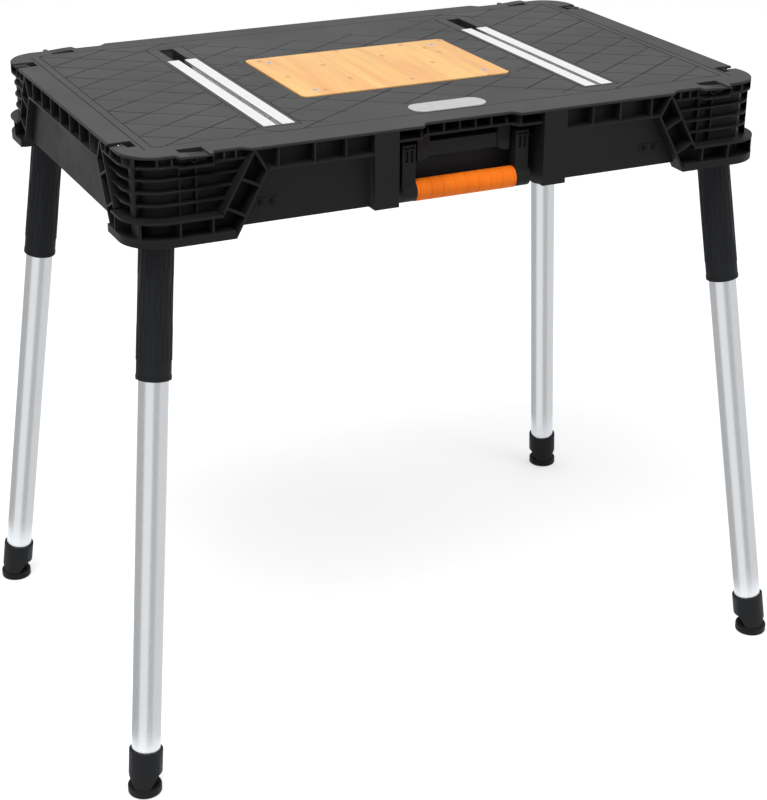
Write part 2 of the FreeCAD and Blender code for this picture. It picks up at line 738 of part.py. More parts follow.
def rail_screw_heads(clearance):
    """Heads of the rail screws, flush with the channel's floor."""
    low = RAIL_FLOOR - RAIL_SCREW_HEAD
    radius = RAIL_SCREW_HEAD_R + clearance
    return [rod((x, y, low), (x, y, RAIL_FLOOR), radius) for x, y in rail_screw_places()]


def make_rail(sign):
    """Slotted clamp rail."""
    x = sign * RAIL_X
    half = RAIL_WIDTH / 2
    rail = box((x - half, RAIL_FRONT, RAIL_BOTTOM), (x + half, RAIL_BACK, RAIL_TOP))
    channel = RAIL_CHANNEL / 2
    front = RAIL_FRONT - OVERSIZE
    back = RAIL_BACK + OVERSIZE
    rail = rail.cut(box((x - channel, front, RAIL_FLOOR), (x + channel, back, RAIL_TOP - RAIL_LIP)))
    slot = RAIL_SLOT / 2
    rail = rail.cut(box((x - slot, front, RAIL_FLOOR), (x + slot, back, RAIL_TOP + OVERSIZE)))
    for hole in rail_screw_shanks(RUNNING_CLEARANCE) + rail_screw_heads(RUNNING_CLEARANCE):
        rail = rail.cut(hole)
    return rail


def make_rail_screws():
    """Group of the screws that hold the rails."""
    pairs = zip(rail_screw_shanks(0.0), rail_screw_heads(0.0))
    return Part.makeCompound([joined([head, shank]) for shank, head in pairs])


def badge_shape(gap, high):
    """Oval plate, or its seat when a gap is given."""
    low = TOP_HEIGHT + BADGE_PROUD - BADGE_THICKNESS
    return rounded_slab(
        BADGE_LENGTH / 2 + gap, BADGE_WIDTH / 2 + gap, BADGE_RADIUS + gap, low, high, (0.0, BADGE_Y),
    )


# Walls


def diagonal_x(apex, z):
    """Outer diagonal of a corner block: distance along the wall at a height."""
    share = (BAND_BOTTOM - z) / (BAND_BOTTOM - BLOCK_BOTTOM)
    return apex - BRANCH_RUN + share * (BRANCH_RUN + OUTER_RUN)


def panel_outline(apex):
    """Corners of a wall panel between two corner blocks, as (along, height)."""
    foot = diagonal_x(apex, WALL_BOTTOM)
    right = [(apex, DECK_BOTTOM), (apex - BRANCH_RUN, BAND_BOTTOM), (foot, WALL_BOTTOM)]
    left = [(-along, z) for along, z in reversed(right)]
    return right + left


def wall_panel(sign):
    """Recessed sheet of the front (-1) or rear (1) wall."""
    face = sign * PANEL_FACE_Y
    points = [(along, face, z) for along, z in panel_outline(FRONT_APEX)]
    return prism(points, (0, -sign * WALL_THICKNESS, 0))


def wall_band(sign, inner):
    """Shelf of the upper band from a distance out to the corner block, both sides."""
    outer = FRONT_APEX - BRANCH_RUN
    face = sign * PANEL_FACE_Y
    shelf = []
    for side in (-1, 1):
        shelf.append(box(
            (side * inner, face, BAND_BOTTOM),
            (side * outer, sign * HALF_DEPTH, BAND_BOTTOM + SHELF_THICKNESS),
        ))
    return shelf


def upright_rib(x, face, front, low, high):
    """Upright rib between two depths."""
    half = RIB_THICKNESS / 2
    return box((x - half, face, low), (x + half, front, high))


def band_ribs(sign, places):
    """Upright ribs of the upper band."""
    ribs = []
    for side in (-1, 1):
        for x in places:
            ribs.append(upright_rib(
                side * x, sign * PANEL_FACE_Y, sign * HALF_DEPTH, BAND_BOTTOM, DECK_BOTTOM,
            ))
    return ribs


def pillar(sign, side):
    """Hollow pillar of a long wall, open towards the inside."""
    inner = side * PILLAR_INNER
    outer = side * PILLAR_OUTER
    back = sign * (PANEL_FACE_Y - WALL_THICKNESS)
    front = sign * HALF_DEPTH
    shell = box((inner, back, WALL_BOTTOM), (outer, front, DECK_BOTTOM))
    hollow = box(
        (inner + side * WALL_THICKNESS, back - sign * OVERSIZE, WALL_BOTTOM + WALL_THICKNESS),
        (outer - side * WALL_THICKNESS, front - sign * WALL_THICKNESS, DECK_BOTTOM - WALL_THICKNESS),
    )
    return shell.cut(hollow)


def wall_screw_parts(clearance):
    """Head and shank of each small screw beside the corner blocks."""
    z = TOP_HEIGHT - WALL_SCREW_DROP
    screws = []
    for sign in (-1, 1):
        face = sign * (PANEL_FACE_Y + SCREW_PLATE_PROUD)
        for side in (-1, 1):
            for x in WALL_SCREW_X:
                place = side * x
                head = rod((place, face, z), (place, face + sign * WALL_SCREW_HEAD, z), WALL_SCREW_HEAD_R)
                tip = face - sign * WALL_SCREW_LENGTH
                shank = rod((place, face, z), (place, tip, z), WALL_SCREW_R + clearance)
                screws.append((sign, head, shank))
    return screws


def screw_seats(sign):
    """Raised plates of a long wall under its small screws, and the bosses behind it."""
    z = TOP_HEIGHT - WALL_SCREW_DROP
    half = SCREW_PLATE_HEIGHT / 2
    back = sign * (PANEL_FACE_Y - WALL_THICKNESS)
    tip = back - sign * WALL_BOSS_LENGTH
    face = sign * (PANEL_FACE_Y + SCREW_PLATE_PROUD)
    seats = []
    for side in (-1, 1):
        low = side * (min(WALL_SCREW_X) - SCREW_PLATE_MARGIN)
        high = side * (max(WALL_SCREW_X) + SCREW_PLATE_MARGIN)
        seats.append(box((low, back, z - half), (high, face, z + half)))
        for x in WALL_SCREW_X:
            seats.append(rod((side * x, back, z), (side * x, tip, z), WALL_BOSS_R))
    return seats


def with_screw_holes(wall, sign):
    """Long wall with the holes for its small screws."""
    for wall_sign, _, shank in wall_screw_parts(RUNNING_CLEARANCE):
        if wall_sign == sign:
            wall = wall.cut(shank)
    return wall


def make_rear_wall():
    """Rear wall: panel, pillars and ribbed upper band."""
    pieces = [wall_panel(1)]
    pieces += wall_band(1, 0.0)
    pieces += band_ribs(1, FRONT_RIB_X + REAR_MIDDLE_RIB_X)
    pieces += screw_seats(1)
    wall = joined(pieces)
    for side in (-1, 1):
        gap = box(
            (side * PILLAR_INNER, PANEL_FACE_Y - 2 * OVERSIZE, WALL_BOTTOM),
            (side * PILLAR_OUTER, HALF_DEPTH, DECK_BOTTOM),
        )
        wall = wall.cut(gap)
    wall = joined([wall] + [pillar(1, side) for side in (-1, 1)])
    return with_screw_holes(wall, 1)


def bay_shell():
    """Back, sides and top shelf of the handle bay."""
    back = -HALF_DEPTH + BAY_DEPTH
    inner = PILLAR_INNER
    pieces = [box((-inner, back, WALL_BOTTOM), (inner, back + WALL_THICKNESS, DECK_BOTTOM))]
    for side in (-1, 1):
        pieces.append(box(
            (side * inner, -PANEL_FACE_Y, WALL_BOTTOM),
            (side * (inner + WALL_THICKNESS), back + WALL_THICKNESS, DECK_BOTTOM),
        ))
    outer_y = -HALF_DEPTH + BAY_SHELF_INSET
    notch_y = outer_y + HANDLE_NOTCH_DEPTH
    low = TOP_HEIGHT - BAY_SHELF_DROP - SHELF_THICKNESS
    wide = HANDLE_NOTCH_HALF + HANDLE_NOTCH_SLANT
    right = [(HANDLE_NOTCH_HALF, notch_y), (wide, outer_y), (inner, outer_y), (inner, back)]
    left = [(-x, y) for x, y in reversed(right)]
    pieces.append(prism([(x, y, low) for x, y in right + left], (0, 0, SHELF_THICKNESS)))
    return pieces


def bay_ribs():
    """Row of short ribs under the deck's edge over the handle."""
    back = -HALF_DEPTH + BAY_DEPTH
    outer_y = -HALF_DEPTH + BAY_SHELF_INSET
    notch_y = outer_y + HANDLE_NOTCH_DEPTH
    low = TOP_HEIGHT - BAY_SHELF_DROP
    ribs = []
    for side in (-1, 1):
        ribs += [upright_rib(side * x, back, notch_y, low, DECK_BOTTOM) for x in BAY_RIB_X]
        ribs.append(upright_rib(side * BAY_END_RIB_X, back, outer_y, low, DECK_BOTTOM))
    return ribs


def bay_beam():
    """Beam over the grip with a slanted pad at each end that holds the handle's pins."""
    back = -HALF_DEPTH + BAY_DEPTH
    beam_low = TOP_HEIGHT - BEAM_DROP
    beam_high = TOP_HEIGHT - BEAM_TOP_DROP
    pieces = [box((-BEAM_HALF, -HALF_DEPTH + BEAM_SETBACK, beam_low), (BEAM_HALF, back, beam_high))]
    shelf_low = TOP_HEIGHT - BAY_SHELF_DROP - SHELF_THICKNESS
    pad_low = TOP_HEIGHT - PAD_DROP
    front = -HALF_DEPTH + PAD_SETBACK
    outline = [
        (BEAM_HALF, shelf_low),
        (PAD_OUTER, shelf_low),
        (PAD_OUTER, pad_low),
        (BEAM_HALF + PAD_SLANT, pad_low),
        (BEAM_HALF, beam_low),
    ]
    for side in (-1, 1):
        points = [(side * x, front, z) for x, z in outline]
        pieces.append(prism(points, (0, back - front, 0)))
    return pieces


def beam_hollow():
    """Hollow of the beam, open downwards behind its front lip."""
    front = -HALF_DEPTH + BEAM_SETBACK + WALL_THICKNESS
    back = -HALF_DEPTH + BAY_DEPTH
    high = TOP_HEIGHT - BEAM_TOP_DROP - WALL_THICKNESS
    return box((-BEAM_HALF, front, TOP_HEIGHT - BEAM_DROP - OVERSIZE), (BEAM_HALF, back, high))


def make_front_wall():
    """Front wall with the handle bay between its pillars."""
    pieces = [wall_panel(-1)]
    pieces += wall_band(-1, PILLAR_OUTER)
    pieces += band_ribs(-1, FRONT_RIB_X)
    pieces += screw_seats(-1)
    wall = joined(pieces)
    outer = PILLAR_OUTER
    wall = wall.cut(box(
        (-outer, -HALF_DEPTH, WALL_BOTTOM), (outer, -PANEL_FACE_Y + 2 * OVERSIZE, DECK_BOTTOM),
    ))
    pieces = [wall] + [pillar(-1, side) for side in (-1, 1)]
    pieces += bay_shell() + bay_ribs() + bay_beam()
    wall = joined(pieces).cut(beam_hollow())
    for pin in handle_pins(RUNNING_CLEARANCE):
        wall = wall.cut(pin)
    return with_screw_holes(wall, -1)


def make_wall_screws():
    """Group of the small screws of the long walls."""
    return Part.makeCompound([joined([head, shank]) for _, head, shank in wall_screw_parts(0.0)])


def make_end_wall(sign):
    """End wall: panel and ribbed upper band."""
    face = sign * PANEL_FACE_X
    edge = sign * DECK_HALF_LENGTH
    points = [(face, along, z) for along, z in panel_outline(END_APEX)]
    panel = prism(points, (-sign * WALL_THICKNESS, 0, 0))
    reach = END_APEX - BRANCH_RUN
    pieces = [panel, box((face, -reach, BAND_BOTTOM), (edge, reach, BAND_BOTTOM + SHELF_THICKNESS))]
    first = -END_RIB_PITCH * (END_RIBS - 1) / 2
    half = RIB_THICKNESS / 2
    for step in range(END_RIBS):
        y = first + step * END_RIB_PITCH
        pieces.append(box((face, y - half, BAND_BOTTOM), (edge, y + half, DECK_BOTTOM)))
    return joined(pieces)


# Corner blocks, drawn for the +X +Y corner


def corner_solid(start_x, start_y, end_x, end_y, radius, low, high):
    """Quarter of the top's plan with one round corner."""
    middle = radius * (1 - math.sqrt(0.5))
    corner = [
        Vector(start_x, start_y, low),
        Vector(end_x, start_y, low),
        Vector(end_x, end_y - radius, low),
        Vector(end_x - middle, end_y - middle, low),
        Vector(end_x - radius, end_y, low),
        Vector(start_x, end_y, low),
    ]
    outline = Part.Wire([
        Part.makeLine(corner[0], corner[1]),
        Part.makeLine(corner[1], corner[2]),
        Part.Arc(corner[2], corner[3], corner[4]).toShape(),
        Part.makeLine(corner[4], corner[5]),
        Part.makeLine(corner[5], corner[0]),
    ])
    return Part.Face(outline).extrude(Vector(0, 0, high - low))


def shell_radius(face):
    """Corner radius of a recessed wall at a face, given as (x, y)."""
    return OUTLINE_RADIUS - (HALF_DEPTH - face[1])


def corner_ring(face, start, edge, low, high):
    """Shelf between a recessed wall's face and an outer edge, both given as (x, y)."""
    radius = OUTLINE_RADIUS - (HALF_LENGTH - edge[0])
    outer = corner_solid(*start, *edge, radius, low, high)
    return outer.cut(corner_solid(
        start[0] - OVERSIZE, start[1] - OVERSIZE, *face, shell_radius(face), low - OVERSIZE, high + OVERSIZE,
    ))


def block_shell(face, low, high):
    """Recessed wall of the block between two heights, trimmed along both outer diagonals."""
    start_x = FRONT_APEX - BRANCH_RUN - OVERSIZE
    start_y = END_APEX - BRANCH_RUN - OVERSIZE
    radius = shell_radius(face)
    outer = corner_solid(start_x, start_y, *face, radius, low, high)
    inner = corner_solid(
        start_x - OVERSIZE, start_y - OVERSIZE, face[0] - WALL_THICKNESS, face[1] - WALL_THICKNESS,
        radius - WALL_THICKNESS, low - OVERSIZE, high + OVERSIZE,
    )
    shell = outer.cut(inner)
    front_points = [(along, 0.0, z) for along, z in trim_outline(FRONT_APEX + DIAGONAL_LAP)]
    shell = shell.cut(prism(front_points, (0, HALF_DEPTH, 0)).cut(box(
        (FRONT_APEX, 0, BLOCK_BOTTOM - 2 * OVERSIZE),
        (HALF_LENGTH, END_APEX + INNER_RUN, TOP_HEIGHT),
    )))
    end_edge = FRONT_APEX + 2 * INNER_RUN
    end_points = [(end_edge, along, z) for along, z in trim_outline(END_APEX + DIAGONAL_LAP)]
    return shell.cut(prism(end_points, (HALF_LENGTH - FRONT_APEX, 0, 0)))


def trim_outline(apex):
    """Region of a wall that is not the block's, as (along, height)."""
    start = apex - BRANCH_RUN - 2 * OVERSIZE
    low = BLOCK_BOTTOM - OVERSIZE
    return [
        (start, low),
        (apex + OUTER_RUN, low),
        (apex + OUTER_RUN, BLOCK_BOTTOM),
        (apex - BRANCH_RUN, BAND_BOTTOM),
        (apex, DECK_BOTTOM),
        (apex, TOP_HEIGHT),
        (start, TOP_HEIGHT),
    ]


def slanted_bar(start, end):
    """Corners of a bar of the diagonal web, as (along, height), on the block's side of a line."""
    length = math.hypot(end[0] - start[0], end[1] - start[1])
    across = (-(end[1] - start[1]) / length, (end[0] - start[0]) / length)
    if across[0] < 0:
        across = (-across[0], -across[1])
    shift = (across[0] * DIAGONAL_THICKNESS, across[1] * DIAGONAL_THICKNESS)
    return [start, end, (end[0] + shift[0], end[1] + shift[1]), (start[0] + shift[0], start[1] + shift[1])]


def between(start, end, share):
    """Point at a share of the way from start to end, as (along, height)."""
    return tuple(a + share * (b - a) for a, b in zip(start, end))


def diagonal_bars(apex):
    """Outlines of the bars that join the block to its wall."""
    top = (apex, DECK_BOTTOM)
    branch = (apex - BRANCH_RUN, BAND_BOTTOM)
    foot = (apex + OUTER_RUN, BLOCK_BOTTOM)
    inner = (apex + INNER_RUN, MAIN_RIB_Z)
    bars = [slanted_bar(top, branch), slanted_bar(branch, foot), slanted_bar(top, inner)]
    for inner_share, outer_share in CROSS_RIB_SHARES:
        on_inner = between(top, inner, inner_share)
        on_outer = between(branch, foot, outer_share)
        lapped = 1 + DIAGONAL_LAP / math.dist(on_outer, on_inner)
        bars.append(slanted_bar(on_outer, between(on_outer, on_inner, lapped)))
    return bars


def diagonal_web(apex, placed_point, run):
    """All the bars of one face as one solid, level with the block's top and bottom."""
    bars = [flat_face([placed_point(*corner) for corner in outline]) for outline in diagonal_bars(apex)]
    far = apex + 2 * OUTER_RUN
    level = [(0, BLOCK_BOTTOM), (far, BLOCK_BOTTOM), (far, DECK_BOTTOM), (0, DECK_BOTTOM)]
    web = joined(bars).common(flat_face([placed_point(*corner) for corner in level]))
    web = web.cut(flat_face([placed_point(*corner) for corner in trim_outline(apex)]))
    return web.extrude(Vector(*run)).Solids


def block_diagonals():
    """Diagonal bars on both faces of the block."""
    face_x = BLOCK_FACE[0] - WALL_THICKNESS
    face_y = BLOCK_FACE[1] - WALL_THICKNESS
    front = diagonal_web(FRONT_APEX, lambda along, z: (along, face_y, z), (0, HALF_DEPTH - face_y, 0))
    end_run = (DECK_HALF_LENGTH - face_x, 0, 0)
    return front + diagonal_web(END_APEX, lambda along, z: (face_x, along, z), end_run)


def tier_edge(inset):
    """Outer edge of a tier of the block, behind the deck's edge."""
    return (DECK_HALF_LENGTH - inset, DECK_CORNER_Y - inset)


def block_tiers():
    """Horizontal ribs of the block, each starting at the inner diagonals."""
    slope = INNER_RUN / MAIN_RIB_DROP
    tiers = [pocket_lip(UPPER_TIER_Z - RIB_THICKNESS, UPPER_TIER_Z)]
    for drop in TIER_RIB_DROPS:
        high = TOP_HEIGHT - drop
        edge = tier_edge(0.0 if high == UPPER_TIER_Z else TIER_INSET)
        along = slope * drop + DIAGONAL_LAP
        start = (FRONT_APEX + along, END_APEX + along)
        tiers.append(corner_ring(BLOCK_FACE, start, edge, high - RIB_THICKNESS, high))
    full = (HALF_LENGTH, HALF_DEPTH)
    inner = INNER_RUN + DIAGONAL_LAP
    start = (FRONT_APEX + inner, END_APEX + inner)
    tiers.append(corner_ring(BLOCK_FACE, start, full, MAIN_RIB_Z - SHELF_THICKNESS, MAIN_RIB_Z))
    outer = OUTER_RUN + DIAGONAL_LAP
    start = (FRONT_APEX + outer, END_APEX + outer)
    tiers.append(corner_ring(BLOCK_FACE, start, full, BLOCK_BOTTOM, BLOCK_BOTTOM + BLOCK_RIM))
    return tiers


def uprights_in(tier, xs, ys):
    """Upright ribs at the corner and at places along both faces, cut to a tier's outline."""
    half = RIB_THICKNESS / 2
    ribs = []
    for x in xs:
        low = (x - half, CORNER_RIB_Y, BLOCK_BOTTOM)
        ribs.append(tier.common(box(low, (x + half, HALF_DEPTH, TOP_HEIGHT))))
    for y in ys:
        low = (BLOCK_FACE[0] - WALL_THICKNESS, y - half, BLOCK_BOTTOM)
        ribs.append(tier.common(box(low, (HALF_LENGTH, y + half, TOP_HEIGHT))))
    return [solid for rib in ribs for solid in rib.Solids]


def block_uprights(hand):
    """Upright ribs of the block; the set-back ones differ by hand."""
    start = (FRONT_APEX, END_APEX)
    full = (HALF_LENGTH, HALF_DEPTH)
    corner = (CORNER_RIB_X,)
    lower = corner_ring(BLOCK_FACE, start, full, BLOCK_BOTTOM + BLOCK_RIM, MAIN_RIB_Z)
    middle = corner_ring(BLOCK_FACE, start, tier_edge(TIER_INSET), MAIN_RIB_Z, UPPER_TIER_Z)
    web = corner_ring(BLOCK_FACE, start, tier_edge(TIER_INSET + WEB_RIB_INSET), MAIN_RIB_Z, UPPER_TIER_Z)
    upper = corner_ring(PANEL_FACE, start, tier_edge(0.0), UPPER_TIER_Z, DECK_BOTTOM)
    ribs = uprights_in(lower, LOWER_RIB_X + corner, LOWER_RIB_Y)
    ribs += uprights_in(middle, corner, ())
    ribs += uprights_in(web, [POCKET_X + hand * step for step in WEB_RIB_STEPS], ())
    return ribs + uprights_in(upper, UPPER_RIB_X + corner, UPPER_RIB_Y)


def make_corner_block(hand):
    """Ribbed corner moulding, cut clear of the deck's connection pocket."""
    pieces = [
        block_shell(BLOCK_FACE, BLOCK_BOTTOM, UPPER_TIER_Z),
        block_shell(PANEL_FACE, UPPER_TIER_Z - RIB_THICKNESS, DECK_BOTTOM),
    ]
    block = joined(pieces + block_diagonals() + block_tiers() + block_uprights(hand))
    return block.cut(pocket_space(POCKET_WALL + POCKET_SEAT_GAP))


# Carrying handle


def handle_pins(clearance):
    """Pivot pins of the handle, from the pads to the pillars."""
    inner = PAD_OUTER - HANDLE_PIN_SEAT
    outer = PILLAR_INNER + WALL_THICKNESS
    radius = HANDLE_PIN_DIAMETER / 2 + clearance
    place = (HANDLE_PIVOT_Y, HANDLE_PIVOT_Z)
    return [rod((side * inner, *place), (side * outer, *place), radius) for side in (-1, 1)]


def arm_slots(side):
    """Two upright slots and a cross slot in the face of an arm."""
    deep = ARM_FACE_Y + ARM_SLOT_DEPTH
    out = ARM_FACE_Y - OVERSIZE
    middle = side * (ARM_INNER + ARM_WIDTH / 2)
    high = HANDLE_PIVOT_Z + ARM_SLOT_HIGH
    bar_low = HANDLE_PIVOT_Z + ARM_BAR_LOW
    bar_half = ARM_WIDTH / 2 - ARM_BAR_MARGIN
    slots = [box((middle - bar_half, out, bar_low), (middle + bar_half, deep, bar_low + ARM_BAR_HEIGHT))]
    for step in (-0.5, 0.5):
        low_x = middle + step * ARM_SLOT_PITCH - ARM_SLOT_WIDTH / 2
        slots.append(box((low_x, out, high - ARM_SLOT_LENGTH), (low_x + ARM_SLOT_WIDTH, deep, high)))
    return slots


def handle_arm(side):
    """Arm with a hub at its pivot, slots in its face and a round elbow beside the grip."""
    inner = side * ARM_INNER
    outer = side * (ARM_INNER + ARM_WIDTH)
    elbow = side * (ARM_INNER + ARM_WIDTH + ELBOW_PROUD)
    arm = joined([
        box((inner, ARM_FACE_Y, GRIP_Z), (outer, ARM_FACE_Y + ARM_DEPTH, HANDLE_PIVOT_Z + ARM_TOP)),
        rod((inner, HANDLE_PIVOT_Y, HANDLE_PIVOT_Z), (outer, HANDLE_PIVOT_Y, HANDLE_PIVOT_Z), ARM_HUB_R),
        rod((inner, GRIP_Y, GRIP_Z), (elbow, GRIP_Y, GRIP_Z), ELBOW_DIAMETER / 2),
    ])
    for slot in arm_slots(side):
        arm = arm.cut(slot)
    return arm


def make_handle_bail():
    """Two arms joined by the rod inside the grip."""
    rod_radius = HANDLE_ROD_DIAMETER / 2
    reach = ARM_INNER + ARM_WIDTH / 2
    bar = rod((-reach, GRIP_Y, GRIP_Z), (reach, GRIP_Y, GRIP_Z), rod_radius)
    bail = joined([bar] + [handle_arm(side) for side in (-1, 1)])
    for pin in handle_pins(RUNNING_CLEARANCE):
        bail = bail.cut(pin)
    return bail


def make_handle_grip():
    """Round grip with fine rings."""
    half = ARM_INNER - GRIP_END_GAP
    radius = GRIP_DIAMETER / 2
    place = (GRIP_Y, GRIP_Z)
    grip = rod((-half, *place), (half, *place), radius)
    grip = grip.cut(rod((-half, *place), (half, *place), HANDLE_ROD_DIAMETER / 2 + SEAT_GAP))
    rings = int(half / GRIP_RING_PITCH)
    for step in range(-rings, rings + 1):
        middle = step * GRIP_RING_PITCH
        low = middle - GRIP_RING_WIDTH / 2
        high = middle + GRIP_RING_WIDTH / 2
        outer = rod((low, *place), (high, *place), radius + OVERSIZE)
        grip = grip.cut(outer.cut(rod((low, *place), (high, *place), radius - GRIP_RING_DEPTH)))
    return grip


# Legs, drawn about the pivot with the leg along -Z and the hinge pin along Y


def pivot_z(sign_x):
    """Height of a leg's hinge pin: the right legs fold above the left ones."""
    return UPPER_PIVOT_Z if sign_x > 0 else LOWER_PIVOT_Z


def leg_point(sign_x, sign_y, z):
    """Point of a leg's axis at a height."""
    drop = TOP_HEIGHT - z
    return Vector(sign_x * (LEG_TOP_X + SPLAY_X * drop), sign_y * (LEG_TOP_Y + SPLAY_Y * drop), z)


def leg_direction(sign_x, sign_y):
    """Way down along a standing leg."""
    return Vector(sign_x * SPLAY_X, sign_y * SPLAY_Y, -1.0).normalize()


def folded_direction(sign_x, sign_y):
    """Way along a folded leg: level, and turned a little inwards."""
    turn = math.radians(FOLD_INWARD)
    return Vector(-sign_x * math.cos(turn), -sign_y * math.sin(turn), 0.0)


def hinge_axis(sign_x, sign_y):
    """Axis of a leg's hinge, about which it folds in the positive sense."""
    return leg_direction(sign_x, sign_y).cross(folded_direction(sign_x, sign_y)).normalize()


def fold_angle():
    """Travel of a leg in degrees."""
    return math.degrees(leg_direction(1, 1).getAngle(folded_direction(1, 1)))


def inner_side(sign_x, sign_y):
    """Sign of the hinge axis that points to the middle of the top."""
    return 1 if -sign_y * hinge_axis(sign_x, sign_y).y > 0 else -1


def placed(shape, sign_x, sign_y):
    """A shape drawn about the pivot, moved to its leg."""
    up = leg_direction(sign_x, sign_y) * -1
    pin = hinge_axis(sign_x, sign_y)
    out = pin.cross(up)
    place = leg_point(sign_x, sign_y, pivot_z(sign_x))
    matrix = FreeCAD.Matrix(
        out.x, pin.x, up.x, place.x,
        out.y, pin.y, up.y, place.y,
        out.z, pin.z, up.z, place.z,
        0, 0, 0, 1,
    )
    moved = shape.copy()
    moved.Placement = FreeCAD.Placement(matrix)
    return moved


def along_leg(sign_x, z):
    """Distance below the pivot, along the leg, of a height."""
    return -(pivot_z(sign_x) - z) * AXIS_STRETCH


def upright(radius, low, high):
    """Round bar on the leg's own axis."""
    return rod((0, 0, low), (0, 0, high), radius)


def lock_groove(side):
    """Arc groove of the eye in which the lock's nose runs."""
    half = LOCK_NOSE_DIAMETER / 2 + LOCK_GROOVE_GAP
    face = side * EYE_THICKNESS / 2
    floor = side * (EYE_THICKNESS / 2 - LOCK_NOSE_DEPTH - LOCK_GROOVE_GAP)
    out = face + side * OVERSIZE
    ring = rod((0, floor, 0), (0, out, 0), LOCK_RADIUS + half)
    ring = ring.cut(rod((0, floor, 0), (0, out, 0), LOCK_RADIUS - half))
    start = math.radians(90 - LOCK_GROOVE_MARGIN)
    end = math.radians(90 + fold_angle() + LOCK_GROOVE_MARGIN)
    reach = 3 * EYE_RADIUS
    steps = 4
    points = [(0, floor, 0)]
    for step in range(steps + 1):
        angle = start + (end - start) * step / steps
        points.append((reach * math.cos(angle), floor, reach * math.sin(angle)))
    return ring.common(prism(points, (0, out - floor, 0)))


def make_leg_head(side):
    """Hinge eye with the plug that holds the tube."""
    half = EYE_THICKNESS / 2
    shoulder_low = -EYE_DROP - SHOULDER
    plug_radius = TUBE_DIAMETER / 2 - TUBE_WALL - SEAT_GAP
    pieces = [
        rod((0, -half, 0), (0, half, 0), EYE_RADIUS),
        box((-EYE_RADIUS, -half, -EYE_DROP), (EYE_RADIUS, half, 0)),
        upright(SLEEVE_TOP_DIAMETER / 2, shoulder_low, -EYE_DROP),
        upright(plug_radius, shoulder_low - PLUG_LENGTH, shoulder_low),
    ]
    head = joined(pieces)
    head = head.cut(rod((0, -half, 0), (0, half, 0), HINGE_BORE_R))
    return head.cut(lock_groove(side))


def make_leg_tube(sign_x):
    """Aluminium tube from the head's shoulder to the cap's floor."""
    high = -EYE_DROP - SHOULDER
    low = along_leg(sign_x, TUBE_FOOT_Z)
    tube = upright(TUBE_DIAMETER / 2, low, high)
    return tube.cut(upright(TUBE_DIAMETER / 2 - TUBE_WALL, low, high))


def make_leg_sleeve(sign_x):
    """Tapered sleeve with a bead at its lower end."""
    high = -EYE_DROP - SHOULDER
    low = along_leg(sign_x, SLEEVE_FOOT_Z)
    top = SLEEVE_TOP_DIAMETER / 2
    bottom = SLEEVE_BOTTOM_DIAMETER / 2
    cone = Part.makeCone(bottom, top, high - low, Vector(0, 0, low), Vector(0, 0, 1))
    bead = upright(SLEEVE_BEAD_DIAMETER / 2, low, low + SLEEVE_BEAD)
    sleeve = joined([cone, bead])
    return sleeve.cut(upright(TUBE_DIAMETER / 2 + SEAT_GAP, low, high))


def tongue_windows(sign_x, sign_y):
    """Slanted windows of a foot cap's skirt, which leave a tongue in front and behind."""
    foot = leg_point(sign_x, sign_y, 0.0)
    low = PAD_THICKNESS - OVERSIZE
    bottom = PAD_THICKNESS
    high = TUBE_FOOT_Z - CAP_FLOOR - WINDOW_TOP_GAP
    reach = 2 * CAP_DIAMETER
    windows = []
    for side in (-1, 1):
        outline = [
            (side * TONGUE_HALF_BOTTOM, -reach, low),
            (side * TONGUE_HALF_BOTTOM, -reach, bottom),
            (side * TONGUE_HALF_TOP, -reach, high),
            (side * reach, -reach, high),
            (side * reach, -reach, low),
        ]
        window = prism(outline, (0, 2 * reach, 0))
        window.rotate(Vector(0, 0, 0), Vector(0, 0, 1), -TONGUE_TURN)
        window.translate(Vector(foot.x, foot.y, 0))
        windows.append(window)
    return windows


def make_foot_cap(sign_x, sign_y):
    """End cap of a leg, with a floor for the pad's stem and a windowed skirt."""
    high = along_leg(sign_x, CAP_TOP_Z)
    floor_high = along_leg(sign_x, TUBE_FOOT_Z)
    floor_low = along_leg(sign_x, TUBE_FOOT_Z - CAP_FLOOR)
    low = along_leg(sign_x, 0.0)
    radius = CAP_DIAMETER / 2
    cap = upright(radius, low, high)
    cap = cap.cut(upright(TUBE_DIAMETER / 2 + SEAT_GAP, floor_high, high))
    cap = cap.cut(upright(radius - CAP_SKIRT_WALL, low, floor_low))
    cap = cap.cut(upright(PAD_STEM_DIAMETER / 2 + RUNNING_CLEARANCE, floor_low, floor_high))
    cap = placed(cap, sign_x, sign_y)
    foot = leg_point(sign_x, sign_y, 0.0)
    reach = 2 * CAP_DIAMETER
    low_z = PAD_THICKNESS + TONGUE_GAP
    cap = cap.cut(box((foot.x - reach, foot.y - reach, -reach), (foot.x + reach, foot.y + reach, low_z)))
    for window in tongue_windows(sign_x, sign_y):
        cap = cap.cut(window)
    return cap


def make_foot_pad(sign_x, sign_y):
    """Level pad with its neck and screw stem on the leg's axis."""
    foot = leg_point(sign_x, sign_y, 0.0)
    disc = Part.makeCylinder(PAD_DIAMETER / 2, PAD_THICKNESS, Vector(foot.x, foot.y, 0))
    rim = [edge for edge in disc.Edges if len(edge.Vertexes) == 1]
    disc = disc.makeFillet(PAD_EDGE, rim)
    base = along_leg(sign_x, PAD_THICKNESS / 2)
    neck_top = along_leg(sign_x, TUBE_FOOT_Z - CAP_FLOOR - PAD_NECK_TOP_GAP)
    neck = placed(upright(PAD_NECK_DIAMETER / 2, base, neck_top), sign_x, sign_y)
    stem = placed(upright(PAD_STEM_DIAMETER / 2, base, base + PAD_STEM_LENGTH), sign_x, sign_y)
    return joined([disc, neck, stem])


# Hinge brackets and leg locks


